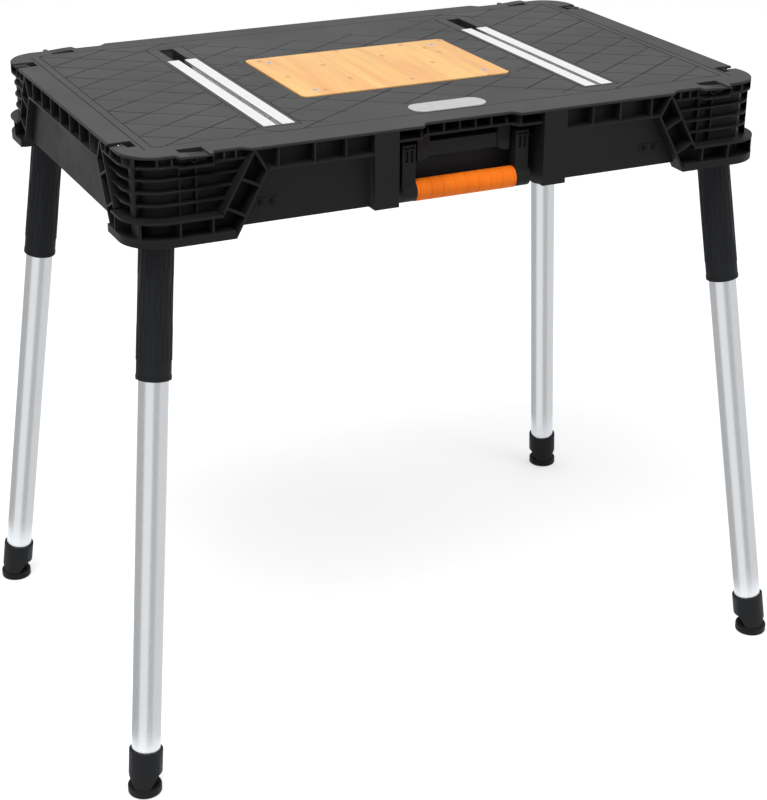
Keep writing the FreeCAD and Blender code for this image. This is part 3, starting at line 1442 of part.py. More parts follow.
def flange_box(sign_x, sign_y, low, high):
    """Footprint of a bracket's flange between two heights."""
    pivot = leg_point(sign_x, sign_y, pivot_z(sign_x))
    return box(
        (pivot.x - sign_x * FLANGE_INWARD, pivot.y - sign_y * FLANGE_SIDE_IN, low),
        (pivot.x + sign_x * FLANGE_OUTWARD, pivot.y + sign_y * FLANGE_SIDE_OUT, high),
    )


def bracket_screw_places(sign_x, sign_y):
    """Middle of each screw of a bracket's flange."""
    bounds = flange_box(sign_x, sign_y, FLANGE_BOTTOM, FLANGE_TOP).BoundBox
    inset = BRACKET_SCREW_INSET
    xs = (bounds.XMin + inset, bounds.XMax - inset)
    ys = (bounds.YMin + inset, bounds.YMax - inset)
    return [(x, y) for x in xs for y in ys]


def bracket_screw_shanks(clearance):
    """Shanks of all the bracket screws."""
    radius = BRACKET_SCREW_R + clearance
    high = FLANGE_TOP + BRACKET_SCREW_BITE
    shanks = []
    for _, sx in SIDES_X:
        for _, sy in SIDES_Y:
            for x, y in bracket_screw_places(sx, sy):
                shanks.append(rod((x, y, FLANGE_BOTTOM), (x, y, high), radius))
    return shanks


def make_bracket_screws():
    """Group of the screws that hold the brackets to the deck."""
    screws = []
    for shank in bracket_screw_shanks(0.0):
        middle = shank.BoundBox.Center
        low = (middle.x, middle.y, FLANGE_BOTTOM - BRACKET_SCREW_HEAD)
        head = rod(low, (middle.x, middle.y, FLANGE_BOTTOM), BRACKET_SCREW_HEAD_R)
        screws.append(joined([head, shank]))
    return Part.makeCompound(screws)


def bracket_cheek(side, height):
    """One cheek beside the eye, with the lug of the stop."""
    inner = side * CHEEK_INNER
    outer = side * CHEEK_OUTER
    lug = EYE_RADIUS + STOP_GAP + STOP_THICKNESS
    pieces = [
        rod((0, inner, 0), (0, outer, 0), CHEEK_RADIUS),
        box((-CHEEK_HALF_WIDTH, inner, 0), (CHEEK_HALF_WIDTH, outer, height)),
        box((0, inner, STOP_LOW), (lug, outer, 0)),
    ]
    return joined(pieces)


def lock_rod(radius, start, end):
    """Round bar on the lock's axis, above the hinge pin."""
    return rod((0, start, LOCK_RADIUS), (0, end, LOCK_RADIUS), radius)


def make_bracket(sign_x, sign_y):
    """Hinge bracket: flange, two cheeks, a stop for the leg and the lock's barrel."""
    side = inner_side(sign_x, sign_y)
    height = FLANGE_TOP - pivot_z(sign_x) + OVERSIZE
    stop = box(
        (EYE_RADIUS + STOP_GAP, -CHEEK_INNER, STOP_LOW),
        (EYE_RADIUS + STOP_GAP + STOP_THICKNESS, CHEEK_INNER, STOP_HIGH),
    )
    barrel_end = side * (CHEEK_OUTER + BARREL_LENGTH)
    pieces = [bracket_cheek(sign, height) for sign in (-1, 1)] + [stop]
    pieces.append(lock_rod(BARREL_DIAMETER / 2, side * CHEEK_INNER, barrel_end))
    bracket = joined(pieces)
    bore_end = side * (CHEEK_OUTER + BARREL_LENGTH - BARREL_END)
    nose = LOCK_NOSE_DIAMETER / 2 + RUNNING_CLEARANCE
    stem = LOCK_STEM_DIAMETER / 2 + RUNNING_CLEARANCE
    bracket = bracket.cut(lock_rod(nose, side * CHEEK_INNER, side * CHEEK_OUTER))
    bracket = bracket.cut(lock_rod(BARREL_BORE / 2, side * CHEEK_OUTER, bore_end))
    bracket = bracket.cut(lock_rod(stem, side * CHEEK_OUTER, barrel_end))
    pin_space = CHEEK_OUTER + HINGE_PIN_PROUD + STOP_GAP
    bracket = bracket.cut(rod((0, -pin_space, 0), (0, pin_space, 0), HINGE_BORE_R))
    bracket = placed(bracket, sign_x, sign_y)
    bracket = bracket.cut(flange_box(sign_x, sign_y, FLANGE_TOP, TOP_HEIGHT))
    bracket = joined([bracket, flange_box(sign_x, sign_y, FLANGE_BOTTOM, FLANGE_TOP)])
    for shank in bracket_screw_shanks(RUNNING_CLEARANCE):
        bracket = bracket.cut(shank)
    return bracket


def make_hinge_pins():
    """Group of the four hinge pins."""
    reach = CHEEK_OUTER + HINGE_PIN_PROUD
    pin = rod((0, -reach, 0), (0, reach, 0), HINGE_PIN_DIAMETER / 2)
    return Part.makeCompound([placed(pin, sx, sy) for _, sx in SIDES_X for _, sy in SIDES_Y])


def make_lock_plunger(side):
    """Lock plunger: nose, collar, stem and pull knob."""
    nose_tip = side * (EYE_THICKNESS / 2 - LOCK_NOSE_DEPTH)
    collar_low = side * (CHEEK_OUTER + LOCK_COLLAR_GAP)
    collar_high = side * (CHEEK_OUTER + LOCK_COLLAR_GAP + LOCK_COLLAR)
    knob_low = side * (CHEEK_OUTER + BARREL_LENGTH + KNOB_GAP)
    knob_high = knob_low + side * KNOB_LENGTH
    return joined([
        lock_rod(LOCK_NOSE_DIAMETER / 2, nose_tip, collar_low),
        lock_rod(LOCK_COLLAR_DIAMETER / 2, collar_low, collar_high),
        lock_rod(LOCK_STEM_DIAMETER / 2, collar_high, knob_low),
        lock_rod(KNOB_DIAMETER / 2, knob_low, knob_high),
    ])


def make_lock_spring(side):
    """Space of the coil spring between the plunger's collar and the barrel's end."""
    low = side * (CHEEK_OUTER + LOCK_COLLAR_GAP + LOCK_COLLAR + SPRING_GAP)
    high = side * (CHEEK_OUTER + BARREL_LENGTH - BARREL_END)
    inner = LOCK_STEM_DIAMETER / 2 + SPRING_GAP
    return lock_rod(inner + SPRING_WALL, low, high).cut(lock_rod(inner, low, high))


def save_top():
    """Pieces of the top."""
    save("deck", make_deck())
    save("front_wall", make_front_wall())
    save("rear_wall", make_rear_wall())
    save("wall_screws", make_wall_screws())
    save("wood_board", make_board())
    save("board_screws", make_board_screws())
    save("rail_screws", make_rail_screws())
    save("badge_plate", badge_shape(0.0, TOP_HEIGHT + BADGE_PROUD))
    blocks = {hand: make_corner_block(hand) for hand in (-1, 1)}
    for side_name, sx in SIDES_X:
        save(side_name + "_end_wall", make_end_wall(sx))
        save("clamp_rail_" + side_name, make_rail(sx))
        for depth_name, sy in SIDES_Y:
            save("corner_block_" + depth_name + "_" + side_name, mirrored(blocks[sx * sy], sx, sy))


def save_handle():
    """Pieces of the carrying handle."""
    save("handle_bail", make_handle_bail())
    save("handle_grip", make_handle_grip())
    save("handle_pivot_pins", Part.makeCompound(handle_pins(0.0)))


def save_legs():
    """Pieces of the four legs, their hinges, locks and feet."""
    save("hinge_pins", make_hinge_pins())
    save("bracket_screws", make_bracket_screws())
    for side_name, sx in SIDES_X:
        for depth_name, sy in SIDES_Y:
            corner = "_" + depth_name + "_" + side_name
            side = inner_side(sx, sy)
            save("hinge_bracket" + corner, make_bracket(sx, sy))
            save("lock_plunger" + corner, placed(make_lock_plunger(side), sx, sy))
            save("lock_spring" + corner, placed(make_lock_spring(side), sx, sy))
            save("leg_head" + corner, placed(make_leg_head(side), sx, sy))
            save("leg_sleeve" + corner, placed(make_leg_sleeve(sx), sx, sy))
            save("leg_tube" + corner, placed(make_leg_tube(sx), sx, sy))
            save("foot_cap" + corner, make_foot_cap(sx, sy))
            save("foot_pad" + corner, make_foot_pad(sx, sy))


os.makedirs("parts", exist_ok=True)
save_top()
save_handle()
save_legs()
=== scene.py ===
import json
import math

import bmesh
import bpy
from mathutils import Matrix, Quaternion, Vector


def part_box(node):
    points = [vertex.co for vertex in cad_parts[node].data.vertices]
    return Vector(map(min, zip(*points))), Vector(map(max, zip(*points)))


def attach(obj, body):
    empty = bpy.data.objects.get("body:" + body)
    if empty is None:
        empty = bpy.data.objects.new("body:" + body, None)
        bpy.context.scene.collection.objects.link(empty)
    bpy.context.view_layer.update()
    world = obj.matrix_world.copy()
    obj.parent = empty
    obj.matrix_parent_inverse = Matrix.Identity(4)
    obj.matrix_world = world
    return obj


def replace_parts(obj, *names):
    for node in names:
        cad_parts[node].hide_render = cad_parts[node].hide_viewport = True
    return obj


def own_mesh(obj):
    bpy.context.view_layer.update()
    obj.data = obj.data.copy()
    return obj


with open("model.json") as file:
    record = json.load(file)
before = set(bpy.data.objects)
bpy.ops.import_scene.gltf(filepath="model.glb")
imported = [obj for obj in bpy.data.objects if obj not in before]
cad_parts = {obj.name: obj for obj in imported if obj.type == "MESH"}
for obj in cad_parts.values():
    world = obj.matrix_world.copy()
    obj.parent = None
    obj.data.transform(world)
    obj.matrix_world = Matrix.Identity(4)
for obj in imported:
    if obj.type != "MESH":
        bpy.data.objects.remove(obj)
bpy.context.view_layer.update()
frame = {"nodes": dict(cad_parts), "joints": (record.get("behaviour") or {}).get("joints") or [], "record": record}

bl_info = {
    "name": "Folding workbench",
    "version": (1, 0, 0),
    "blender": (4, 5, 0),
    "location": "View3D > Sidebar > Workbench",
    "description": "Dresses the packed folding workbench with its finished pieces and materials",
    "category": "Object",
}

CORNERS = ("front_left", "rear_left", "front_right", "rear_right")
SLOTS = {piece["node"]: piece["material_slot"] for piece in frame["record"]["subparts"]}
NODE_BODY = {
    node: body
    for body, members in frame["record"]["behaviour"]["bodies"].items()
    for node in members
}

# Surfaces: a pair is the lowest and the highest value over a surface
NOISE_MIDDLE = (0.3, 0.7)
NOISE_ROUGHNESS = 0.6
PLASTIC_SHEEN = 0.1
PLASTIC_MOTTLE_SCALE = 18.0
PLASTIC_MOTTLE_TINT = (0.9, 1.1)
PLASTIC_GRAIN_SCALE = 1500.0
PLASTIC_GRAIN_TINT = (0.94, 1.06)
PLASTIC_GRAIN_DEPTH = 0.0001
PLASTIC_GRAIN_STRENGTH = 0.25
PLASTIC_GLOSS = (0.44, 0.58)
METAL_LINE_TINT = (0.97, 1.02)
METAL_LINE_ROUGHNESS = 0.55
METAL_LINE_DEPTH = 0.00005
METAL_LINE_STRENGTH = 0.08
LINES_ALONG_Y = (900.0, 6.0, 900.0)
LINES_ALONG_Z = (700.0, 700.0, 5.0)
LINES_NO_WAY = (600.0, 600.0, 600.0)
WOOD_BROAD_STRETCH = (34.0, 2.6, 3.0)
WOOD_BROAD_DISTORTION = 0.6
WOOD_BROAD_RANGE = (0.42, 0.68)
WOOD_FINE_STRETCH = (420.0, 9.0, 20.0)
WOOD_FINE_DISTORTION = 0.2
WOOD_FINE_TINT = (0.86, 1.05)
WOOD_GLOSS = (0.42, 0.56)
WOOD_GRAIN_DEPTH = 0.0001
WOOD_GRAIN_STRENGTH = 0.15
KNOT_STRETCH = (16.0, 11.0, 1.0)
KNOT_SHIFT = (0.37, 0.11, 0.0)
KNOT_RADII = (0.02, 0.07)
KNOT_STRENGTH = 0.8
KNOT_SHADE = 0.6
DECK_MOTTLE_SCALE = 9.0
# Painted shade in the deck's grooves: the depth under the top where it is full, the depth where it has faded out,
# and how dark it makes the colour
DECK_GROOVE_FLOOR = 0.0007
DECK_GROOVE_LIP = 0.0002
DECK_GROOVE_PAINTED_SHADE = 0.5
GRIP_RING_SCALE = 95.0
GRIP_RING_SHADE = 0.93
GRIP_RING_WIDTH = 0.35
GRIP_GRAIN_SCALE = 2200.0
GRIP_GRAIN_STRENGTH = 0.2

# Sockets of a colour mix, which share their names with those of other kinds
MIX_FACTOR = 0
MIX_FIRST = 6
MIX_SECOND = 7
MIX_RESULT = 2

# Edges that are rounded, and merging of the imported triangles
SHARP_ANGLE = math.radians(40)
ROUNDED_ANGLE = math.radians(35)
FLAT_ANGLE = math.radians(0.5)
MERGE_DISTANCE = 1e-6
SHORTEST_EDGE = 0.0025
DECK_SHORTEST_EDGE = 0.010
ROUNDING_ROOM = 2.5
FLAT_FACE_WEIGHT = 80

# How far the screws' cross drives, dark crosses of painted shade for their recesses, stand over the heads, so that
# they show
DRIVE_SHADE_LIFT = 0.00008

# Raised lines on the sleeves: the height where they start, and distances along the leg; the sleeve under them
SLEEVE_LINE_TOP_Z = 0.690
SLEEVE_LINE_END = 0.022
SLEEVE_LINE_COUNT = 18
SLEEVE_JOG_DROPS = (0.026, 0.038, 0.050)
SLEEVE_JOG_HEIGHT = 0.010
SLEEVE_FOOT_Z = 0.528
SLEEVE_TOP_R = 0.02025
SLEEVE_BOTTOM_R = 0.0210

# Camera, as solved from the photograph
CAMERA_PLACE = (-1.01838, -2.15234, 1.40370)
CAMERA_AZIMUTH = math.radians(-25.15)
CAMERA_ELEVATION = math.radians(24.73)
CAMERA_ROLL = math.radians(0.13)
CAMERA_LENS = 83.7
CAMERA_SENSOR = 36.0
CAMERA_SHIFT = (0.01735, 0.0146)
CAMERA_REACH = 100.0

# Light: each lamp has a place, the point it is turned to, its side and its power
WORLD_LEVEL = 0.4
KEY_LAMP = ((-0.9, -1.0, 3.2), (0.0, 0.0, 0.75), 1.6, 62.0)
FILL_LAMP = ((2.2, -2.4, 1.8), (0.0, 0.0, 0.6), 1.8, 14.0)
FLOOR_HALF = 30.0
FLOOR_DROP = 0.0005
FLOOR_WHITE = 0.82
FLOOR_GLOW = 0.58
FLOOR_ROUGHNESS = 0.9

# Cards bent round the legs: first and last bearing to the right of the camera, in degrees, and grey
CARD_DISTANCE = 0.12
CARD_STEPS = 4
CARDS = ((-180.0, -58.0, 0.52), (-58.0, 4.0, 0.96), (4.0, 46.0, 0.56), (46.0, 178.0, 0.78))


# Sizes and colours that a user would change


def colour_property(name, text, default):
    """Colour setting in linear values."""
    return bpy.props.FloatVectorProperty(
        name=name, description=text, default=default, size=3, min=0.0, max=1.0, subtype="COLOR",
    )


def length_property(name, text, default):
    """Length setting in metres."""
    return bpy.props.FloatProperty(
        name=name, description=text, default=default, min=0.0, precision=5, subtype="DISTANCE", unit="LENGTH",
    )


class WorkbenchSizes(bpy.types.PropertyGroup):
    """Sizes of the finishing detail."""

    moulding_round: length_property("Moulding round", "Rounding of the moulded edges", 0.0005)
    metal_round: length_property("Metal round", "Rounding of the metal edges", 0.0003)
    board_round: length_property("Board round", "Rounding of the board's upper edge", 0.0012)
    sleeve_line: length_property("Sleeve line", "Thickness of the raised lines on the sleeves", 0.0012)
    drive_width: length_property("Drive width", "Width of one bar of a screw's cross drive", 0.0008)
    drive_length: length_property("Drive length", "Length of one bar of a screw's cross drive", 0.0034)


class WorkbenchColours(bpy.types.PropertyGroup):
    """Base colours of the finishes."""

    deck: colour_property("Deck", "Charcoal of the deck", (0.052, 0.052, 0.054))
    walls: colour_property("Walls", "Black of the walls and the corner blocks", (0.012, 0.0123, 0.0131))
    board: colour_property("Board", "Pale wood of the board", (0.95, 0.56, 0.19))
    board_streak: colour_property("Board streak", "Darker streaks of the board", (0.86, 0.41, 0.14))
    rails: colour_property("Rails", "Aluminium of the clamp rails", (0.86, 0.86, 0.87))
    tubes: colour_property("Tubes", "Aluminium of the leg tubes", (0.75, 0.77, 0.79))
    badge: colour_property("Badge", "Pale grey of the bare oval plate", (0.52, 0.52, 0.52))
    handle: colour_property("Handle", "Black of the handle's arms", (0.012, 0.0123, 0.0131))
    grip: colour_property("Grip", "Orange of the grip", (0.95, 0.2, 0.012))
    legs: colour_property("Legs", "Black of the sleeves, heads and feet", (0.017, 0.018, 0.0205))
    pads: colour_property("Pads", "Black rubber of the foot pads", (0.012, 0.012, 0.013))
    steel: colour_property("Steel", "Plated steel of the fasteners", (0.55, 0.55, 0.56))
    brackets: colour_property("Brackets", "Powder coat of the hinge brackets", (0.014, 0.014, 0.015))
    # Dark also paints the shade of the rail screws' cross recesses; the dark screws are black in their own right
    dark: colour_property("Dark", "Black of drive recesses and dark screws", (0.003, 0.003, 0.003))


def settings():
    """Size settings of the scene."""
    return bpy.context.scene.workbench_sizes


def colours():
    """Colour settings of the scene."""
    return bpy.context.scene.workbench_colours


# Shader node groups shared by the materials


def add_node(tree, kind, **values):
    """New shader node with its input values, given by socket name with underscores for spaces."""
    node = tree.nodes.new(kind)
    for key, value in values.items():
        node.inputs[key.replace("_", " ")].default_value = value
    return node


def join(tree, start, output, end, entry):
    """Link from an output socket to an input socket."""
    tree.links.new(start.outputs[output], end.inputs[entry])


def new_group(name, inputs, outputs):
    """Empty shader group with named sockets, and its two end nodes."""
    group = bpy.data.node_groups.new(name, "ShaderNodeTree")
    for socket, kind, default in inputs:
        group.interface.new_socket(socket, in_out="INPUT", socket_type=kind).default_value = default
    for socket, kind in outputs:
        group.interface.new_socket(socket, in_out="OUTPUT", socket_type=kind)
    return group, group.nodes.new("NodeGroupInput"), group.nodes.new("NodeGroupOutput")


def scaled_noise(group, start, entry, detail):
    """Noise over the object's own coordinates, at the scale of a group input."""
    place = group.nodes.new("ShaderNodeTexCoord")
    noise = add_node(group, "ShaderNodeTexNoise", Detail=detail, Roughness=NOISE_ROUGHNESS)
    join(group, place, "Object", noise, "Vector")
    join(group, start, entry, noise, "Scale")
    return noise


def ranged(group, source, output, low, high):
    """Value mapped from the middle of a noise to a range."""
    lowest, highest = NOISE_MIDDLE
    mapped = add_node(
        group, "ShaderNodeMapRange", From_Min=lowest, From_Max=highest, To_Min=low, To_Max=high,
    )
    join(group, source, output, mapped, "Value")
    return mapped


def tinted(group, colour_node, colour_output, factor):
    """Colour multiplied by a changing factor."""
    tint = group.nodes.new("ShaderNodeVectorMath")
    tint.operation = "SCALE"
    join(group, colour_node, colour_output, tint, 0)
    join(group, factor, "Result", tint, "Scale")
    return tint


def moulded_grain_group():
    """Mottled colour, uneven gloss and fine grain of a moulded plastic."""
    inputs = (
        ("Colour", "NodeSocketColor", (0.1, 0.1, 0.1, 1.0)),
        ("Mottle Scale", "NodeSocketFloat", PLASTIC_MOTTLE_SCALE),
        ("Grain Scale", "NodeSocketFloat", PLASTIC_GRAIN_SCALE),
    )
    outputs = (
        ("Colour", "NodeSocketColor"), ("Roughness", "NodeSocketFloat"), ("Height", "NodeSocketFloat"),
    )
    group, start, end = new_group("Moulded grain", inputs, outputs)
    mottle = scaled_noise(group, start, "Mottle Scale", 4.0)
    grain = scaled_noise(group, start, "Grain Scale", 2.0)
    tint = tinted(group, start, "Colour", ranged(group, mottle, "Fac", *PLASTIC_MOTTLE_TINT))
    speckled = tinted(group, tint, "Vector", ranged(group, grain, "Fac", *PLASTIC_GRAIN_TINT))
    gloss = ranged(group, mottle, "Fac", *PLASTIC_GLOSS)
    join(group, speckled, "Vector", end, "Colour")
    join(group, gloss, "Result", end, "Roughness")
    join(group, grain, "Fac", end, "Height")
    return group


def drawn_lines_group():
    """Fine lines and uneven gloss of a drawn or brushed metal, along a chosen direction."""
    inputs = (
        ("Colour", "NodeSocketColor", (0.8, 0.8, 0.8, 1.0)),
        ("Stretch", "NodeSocketVector", (900.0, 900.0, 8.0)),
        ("Smooth Gloss", "NodeSocketFloat", 0.24),
        ("Rough Gloss", "NodeSocketFloat", 0.36),
    )
    outputs = (
        ("Colour", "NodeSocketColor"), ("Roughness", "NodeSocketFloat"), ("Height", "NodeSocketFloat"),
    )
    group, start, end = new_group("Drawn lines", inputs, outputs)
    place = group.nodes.new("ShaderNodeTexCoord")
    stretch = group.nodes.new("ShaderNodeVectorMath")
    stretch.operation = "MULTIPLY"
    join(group, place, "Object", stretch, 0)
    join(group, start, "Stretch", stretch, 1)
    lines = add_node(group, "ShaderNodeTexNoise", Scale=1.0, Detail=3.0, Roughness=METAL_LINE_ROUGHNESS)
    join(group, stretch, "Vector", lines, "Vector")
    tint = tinted(group, start, "Colour", ranged(group, lines, "Fac", *METAL_LINE_TINT))
    gloss = ranged(group, lines, "Fac", 0.0, 1.0)
    join(group, start, "Smooth Gloss", gloss, "To Min")
    join(group, start, "Rough Gloss", gloss, "To Max")
    join(group, tint, "Vector", end, "Colour")
    join(group, gloss, "Result", end, "Roughness")
    join(group, lines, "Fac", end, "Height")
    return group


def shared_group(name, maker):
    """The shader group of that name, made at its first use."""
    return bpy.data.node_groups.get(name) or maker()


# Materials


def new_material(name):
    """Material with a Principled shader, its node tree and the shader."""
    material = bpy.data.materials.new(name)
    material.use_nodes = True
    return material, material.node_tree, material.node_tree.nodes["Principled BSDF"]


def opaque(colour):
    """Colour setting with full opacity."""
    return (*colour, 1.0)


def bumped(tree, shader, source, output, distance, strength):
    """Bump from a height that feeds the shader's normal."""
    bump = add_node(tree, "ShaderNodeBump", Strength=strength, Distance=distance)
    join(tree, source, output, bump, "Height")
    join(tree, bump, "Normal", shader, "Normal")


def grouped_material(name, group, colour, bump_distance, bump_strength, **values):
    """Material whose colour, gloss and bump come from a shared group."""
    material, tree, shader = new_material(name)
    finish = tree.nodes.new("ShaderNodeGroup")
    finish.node_tree = group
    finish.inputs["Colour"].default_value = opaque(colour)
    for key, value in values.items():
        finish.inputs[key.replace("_", " ")].default_value = value
    join(tree, finish, "Colour", shader, "Base Color")
    join(tree, finish, "Roughness", shader, "Roughness")
    bumped(tree, shader, finish, "Height", bump_distance, bump_strength)
    return material


def plastic(
    name, colour, grain_scale=PLASTIC_GRAIN_SCALE, mottle_scale=PLASTIC_MOTTLE_SCALE,
    bump_strength=PLASTIC_GRAIN_STRENGTH,
):
    """Moulded plastic finish."""
    group = shared_group("Moulded grain", moulded_grain_group)
    material = grouped_material(
        name, group, colour, PLASTIC_GRAIN_DEPTH, bump_strength,
        Grain_Scale=grain_scale, Mottle_Scale=mottle_scale,
    )
    material.node_tree.nodes["Principled BSDF"].inputs["Specular IOR Level"].default_value = PLASTIC_SHEEN
    return material


def metal(name, colour, stretch, smooth_gloss, rough_gloss):
    """Drawn or brushed metal finish."""
    group = shared_group("Drawn lines", drawn_lines_group)
    material = grouped_material(
        name, group, colour, METAL_LINE_DEPTH, METAL_LINE_STRENGTH,
        Stretch=stretch, Smooth_Gloss=smooth_gloss, Rough_Gloss=rough_gloss,
    )
    material.node_tree.nodes["Principled BSDF"].inputs["Metallic"].default_value = 1.0
    return material


def height_mask(tree, low, high):
    """Mask that grows from 0 to 1 between two heights."""
    place = tree.nodes.new("ShaderNodeTexCoord")
    parts = tree.nodes.new("ShaderNodeSeparateXYZ")
    join(tree, place, "Object", parts, "Vector")
    mask = add_node(tree, "ShaderNodeMapRange", From_Min=low, From_Max=high)
    join(tree, parts, "Z", mask, "Value")
    return mask


def deck_material():
    """Charcoal moulding with painted shade darkening its grooves below its face."""
    material = plastic("deck charcoal", colours().deck, mottle_scale=DECK_MOTTLE_SCALE)
    tree = material.node_tree
    shader = tree.nodes["Principled BSDF"]
    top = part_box("deck")[1].z
    # Painted shade: the colour darkens in the grooves, fading out towards the deck's top
    mask = height_mask(tree, top - DECK_GROOVE_FLOOR, top - DECK_GROOVE_LIP)
    shade = add_node(tree, "ShaderNodeMapRange", To_Min=DECK_GROOVE_PAINTED_SHADE, To_Max=1.0)
    join(tree, mask, "Result", shade, "Value")
    source = shader.inputs["Base Color"].links[0].from_node
    face = tinted(tree, source, "Colour", shade)
    join(tree, face, "Vector", shader, "Base Color")
    return material


def wood_streaks(tree, stretch, detail, distortion):
    """Noise drawn out along the board's short side."""
    place = tree.nodes.new("ShaderNodeTexCoord")
    mapping = add_node(tree, "ShaderNodeMapping", Scale=stretch)
    join(tree, place, "Object", mapping, "Vector")
    streaks = add_node(tree, "ShaderNodeTexNoise", Scale=1.0, Detail=detail, Distortion=distortion)
    join(tree, mapping, "Vector", streaks, "Vector")
    return streaks


def wood_knots(tree):
    """Mask of a few small knots."""
    place = tree.nodes.new("ShaderNodeTexCoord")
    mapping = add_node(tree, "ShaderNodeMapping", Scale=KNOT_STRETCH, Location=KNOT_SHIFT)
    join(tree, place, "Object", mapping, "Vector")
    cells = add_node(tree, "ShaderNodeTexVoronoi", Scale=1.0, Randomness=1.0)
    cells.voronoi_dimensions = "2D"
    join(tree, mapping, "Vector", cells, "Vector")
    core, rim = KNOT_RADII
    mask = add_node(
        tree, "ShaderNodeMapRange", From_Min=core, From_Max=rim, To_Min=KNOT_STRENGTH, To_Max=0.0,
    )
    join(tree, cells, "Distance", mask, "Value")
    return mask


def colour_mix(tree, mask, second):
    """Mix of a first colour, still to be given, with a second one by a mask."""
    mix = tree.nodes.new("ShaderNodeMix")
    mix.data_type = "RGBA"
    mix.inputs[MIX_SECOND].default_value = opaque(second)
    join(tree, mask, "Result", mix, MIX_FACTOR)
    return mix


def wood_colour(tree):
    """Colour of the wood: broad streaks, with a few knots over them."""
    broad = wood_streaks(tree, WOOD_BROAD_STRETCH, 3.0, WOOD_BROAD_DISTORTION)
    pale, dark = WOOD_BROAD_RANGE
    mask = add_node(tree, "ShaderNodeMapRange", From_Min=pale, From_Max=dark)
    join(tree, broad, "Fac", mask, "Value")
    streaked = colour_mix(tree, mask, colours().board_streak)
    streaked.inputs[MIX_FIRST].default_value = opaque(colours().board)
    knotted = colour_mix(tree, wood_knots(tree), colours().board_streak * KNOT_SHADE)
    join(tree, streaked, MIX_RESULT, knotted, MIX_FIRST)
    return knotted


def board_material():
    """Pale lacquered wood with streaks along the short side and a few knots."""
    material, tree, shader = new_material("board wood")
    fine = wood_streaks(tree, WOOD_FINE_STRETCH, 4.0, WOOD_FINE_DISTORTION)
    tint = tinted(tree, wood_colour(tree), MIX_RESULT, ranged(tree, fine, "Fac", *WOOD_FINE_TINT))
    join(tree, tint, "Vector", shader, "Base Color")
    join(tree, ranged(tree, fine, "Fac", *WOOD_GLOSS), "Result", shader, "Roughness")
    bumped(tree, shader, fine, "Fac", WOOD_GRAIN_DEPTH, WOOD_GRAIN_STRENGTH)
    return material


def grip_material():
    """Soft orange grip with fine ring lines round it."""
    material = plastic(
        "grip orange", colours().grip, grain_scale=GRIP_GRAIN_SCALE, bump_strength=GRIP_GRAIN_STRENGTH,
    )
    tree = material.node_tree
    shader = tree.nodes["Principled BSDF"]
    place = tree.nodes.new("ShaderNodeTexCoord")
    rings = add_node(tree, "ShaderNodeTexWave", Scale=GRIP_RING_SCALE, Distortion=0.0)
    rings.bands_direction = "X"
    join(tree, place, "Object", rings, "Vector")
    shade = add_node(
        tree, "ShaderNodeMapRange", From_Max=GRIP_RING_WIDTH, To_Min=GRIP_RING_SHADE, To_Max=1.0,
    )
    join(tree, rings, "Fac", shade, "Value")
    source = shader.inputs["Base Color"].links[0].from_node
    ringed = tinted(tree, source, "Colour", shade)
    join(tree, ringed, "Vector", shader, "Base Color")
    return material


def finish_makers():
    """Maker of each material slot's finish."""
    tone = colours()
    return {
        "deck_plastic": deck_material,
        "wall_plastic": lambda: plastic("wall black", tone.walls),
        "badge_plate": lambda: plastic("badge grey", tone.badge, 900.0, 60.0, 0.1),
        "board_wood": board_material,
        "rail_aluminium": lambda: metal("rail aluminium", tone.rails, LINES_ALONG_Y, 0.3, 0.42),
        "tube_aluminium": lambda: metal("tube aluminium", tone.tubes, LINES_ALONG_Z, 0.25, 0.33),
        "handle_plastic": lambda: plastic("handle black", tone.handle),
        "grip_orange": grip_material,
        "leg_plastic": lambda: plastic("leg black", tone.legs, 1100.0, 25.0, 0.35),
        "foot_rubber": lambda: plastic("pad rubber", tone.pads, 700.0, 30.0, 0.4),
        "fastener_steel": lambda: metal("fastener steel", tone.steel, LINES_NO_WAY, 0.28, 0.4),
        # These two finishes also paint the shade of the screws' cross recesses, on the dark crosses laid on the
        # heads
        "dark_screw": lambda: plastic("dark screw and drive shade", tone.dark, 900.0, 40.0, 0.2),
        "bracket_metal": lambda: plastic("bracket coat and drive shade", tone.brackets, 800.0, 30.0, 0.4),
        "lock_knob": lambda: plastic("knob black", tone.legs, 900.0, 40.0, 0.3),
    }


FINISHES = {}


def finish(slot_name):
    """Material of a slot, made at its first use."""
    if slot_name not in FINISHES:
        FINISHES[slot_name] = finish_makers()[slot_name]()
    return FINISHES[slot_name]


# General shapes


def placed_piece(name, mesh, body, slot_name):
    """Object for a finished mesh that rides on a body and wears a slot's finish."""
    piece = bpy.data.objects.new(name, mesh)
    bpy.context.scene.collection.objects.link(piece)
    mesh.materials.clear()
    mesh.materials.append(finish(slot_name))
    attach(piece, body)
    return piece


def mesh_from(bm, name):
    """Mesh of a finished bmesh, shaded smooth up to its sharp edges."""
    mesh = bpy.data.meshes.new(name)
    bm.to_mesh(mesh)
    bm.free()
    mesh.shade_smooth()
    mesh.set_sharp_from_angle(angle=SHARP_ANGLE)
    return mesh


def flat_shaded_faces(piece):
    """Keeps the broad faces flat beside their rounded edges."""
    modifier = piece.modifiers.new("Flat broad faces", "WEIGHTED_NORMAL")
    modifier.keep_sharp = True
    modifier.weight = FLAT_FACE_WEIGHT


def merged_copy(node):
    """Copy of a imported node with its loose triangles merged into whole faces."""
    bm = bmesh.new()
    bm.from_mesh(frame["nodes"][node].data)
    bmesh.ops.remove_doubles(bm, verts=bm.verts, dist=MERGE_DISTANCE)
    bmesh.ops.dissolve_limit(
        bm, angle_limit=FLAT_ANGLE, use_dissolve_boundaries=False, verts=bm.verts, edges=bm.edges,
    )
    return bm


def face_width(face):
    """Rough width of a face."""
    return 2 * face.calc_area() / face.calc_perimeter()


